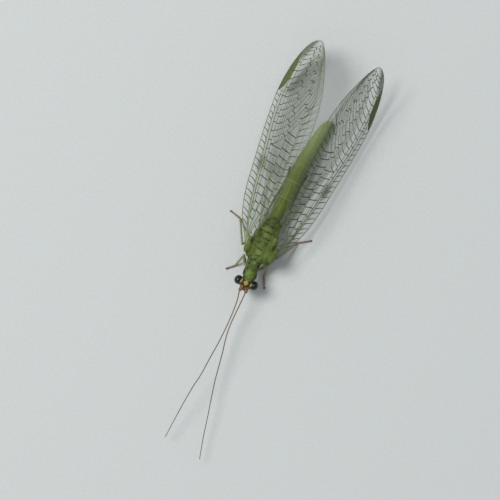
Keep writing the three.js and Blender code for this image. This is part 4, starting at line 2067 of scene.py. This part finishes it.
FORE_OUTLINE = dict(
    length=13.75,
    start=0.0,
    layer=0.0,
    front=((0, 0.45), (1.2, 1.35), (2.5, 1.78), (4.5, 2.0), (9, 2.2), (13.75, 1.7)),
    hind=((0, 0.2), (1.75, 1.2), (3.2, 1.9), (5.6, 2.4), (8.9, 2.56), (13.75, 1.9)),
    round_from=9.2,
    tip_shift=0.54,
    is_fore=True,
)
HIND_OUTLINE = dict(
    length=11.9,
    start=0.9,
    layer=0.6,
    front=((0, 0.15), (2.0, 0.6), (4.3, 1.15), (6.8, 1.5), (9.3, 1.5), (11.9, 1.2)),
    hind=((0, 0.15), (1.6, 0.8), (4.8, 1.25), (7.3, 1.35), (9.3, 1.3), (11.9, 1.1)),
    round_from=8.3,
    tip_shift=0.35,
    is_fore=False,
    vein=0.01,
    stem=0.3,
    subcosta_part=0.16,
    branch_reach=3.2,
    front_steps=14,
    sector_steps=13,
    forks=12,
    step_gap=0.75,
    branch_gap=0.62,
)
BLADES = {
    Side.RIGHT: WingBlade(Side.RIGHT, (-0.89, -0.41, 1.9), 7.3, 50.5, 0.38),
    Side.LEFT: WingBlade(Side.LEFT, (1.2, -0.35, 2.0), 3.3, 55.8, 0.48),
}
FEELERS = (
    Feeler(Side.RIGHT, (
        (0.1, -3.84, 1.66), (0.28, -4.64, 1.9), (0.38, -5.93, 2.1), (0.4, -7.39, 2.15),
        (0.34, -8.68, 2.06), (0.3, -9.92, 1.95), (0.19, -10.82, 1.75), (0.1, -12.19, 1.45),
        (0.06, -13.43, 1.15), (0.03, -14.67, 0.85),
    )),
    Feeler(Side.LEFT, (
        (0.52, -3.82, 1.6), (0.54, -4.9, 1.32), (0.56, -5.92, 1.17), (0.67, -6.89, 1.12),
        (0.99, -8.28, 1.1), (1.27, -9.69, 1.1), (1.64, -11.13, 1.05), (1.96, -12.3, 0.98),
        (2.26, -13.47, 0.88), (2.71, -14.98, 0.75),
    )),
)
LEGS = (
    LegLimb(Leg.FORE, Side.RIGHT, (-0.05, -2.15, 1.1), (-0.38, -2.05, 0.55), (-0.68, -1.6, 1.1),
            (-0.88, -2.46, 0.1), (-1.3, -2.9, 0.06)),
    LegLimb(Leg.FORE, Side.LEFT, (0.35, -2.15, 1.1), (0.7, -2.0, 0.55), (1.1, -1.36, 1.1),
            (1.13, -2.27, 0.1), (1.49, -2.96, 0.06)),
    LegLimb(Leg.MID, Side.RIGHT, (-0.15, -0.75, 1.0), (-0.6, -0.5, 0.5), (-1.12, -0.98, 1.2),
            (-1.98, 0.47, 0.1), (-2.74, 0.62, 0.06)),
    LegLimb(Leg.MID, Side.LEFT, (0.45, -0.75, 1.0), (0.9, -0.48, 0.5), (1.38, -0.84, 1.2),
            (2.13, 0.7, 0.1), (2.88, 1.22, 0.06)),
    LegLimb(Leg.HIND, Side.RIGHT, (-0.15, 0.75, 1.0), (-0.5, 0.95, 0.46), (-0.57, 1.9, 0.4),
            (-0.43, 4.15, 0.12), (-0.55, 4.95, 0.06)),
    LegLimb(Leg.HIND, Side.LEFT, (0.35, 0.75, 1.0), (0.68, 0.95, 0.46), (0.75, 1.9, 0.4),
            (0.63, 4.15, 0.12), (0.75, 4.95, 0.06)),
)


def wing_finishes() -> dict[str, bpy.types.Material]:
    """Makes the finishes that the four wings share.

    Returns:
        The finishes of membrane, veins, stigma and hair.
    """
    return {
        "membrane": MembraneFinish().build(),
        "green": VeinFinish("green_vein", paint(126, 138, 96), paint(106, 118, 86)).build(),
        "grey": VeinFinish("grey_vein", paint(118, 126, 100), paint(98, 104, 82)).build(),
        "dark": VeinFinish("dark_vein", paint(12, 14, 9), paint(26, 30, 19)).build(),
        "stigma": PlainFinish("stigma", paint(88, 98, 42), paint(72, 76, 36), 0.6).build(),
        "hair": PlainFinish("fringe_hair", paint(104, 106, 88), paint(80, 80, 66), 0.6).build(),
    }


def main() -> None:
    """Builds the insect and its studio."""
    logging.basicConfig(level=logging.INFO, format="%(message)s")
    Studio().build()
    body = Body()
    skin = body.build(BLADES)
    body.eyes()
    Bristles().build(skin)
    feeler = LimbFinish("feeler", paint(126, 98, 72), paint(84, 60, 42), paint(24, 16, 12)).build()
    for one in FEELERS:
        one.build(body, feeler)
    leg = LimbFinish("leg", paint(134, 138, 100), paint(140, 100, 74), paint(44, 26, 20)).build()
    shaded = LimbFinish("shaded_leg", paint(104, 118, 76), paint(118, 126, 96), paint(70, 60, 44)).build()
    for one in LEGS:
        one.build(shaded if one.pair is Leg.HIND else leg)
    finishes = wing_finishes()
    for side, blade in BLADES.items():
        Wing(f"forewing_{side.word}", blade, **FORE_OUTLINE).build(finishes)
        Wing(f"hindwing_{side.word}", blade, **HIND_OUTLINE).build(finishes)
    boxes = {"cad": CAD_BOX, "visual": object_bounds()}
    {key: [list(map(float, corner)) for corner in box] for key, box in boxes.items()}


if __name__ == "__main__":
    main()
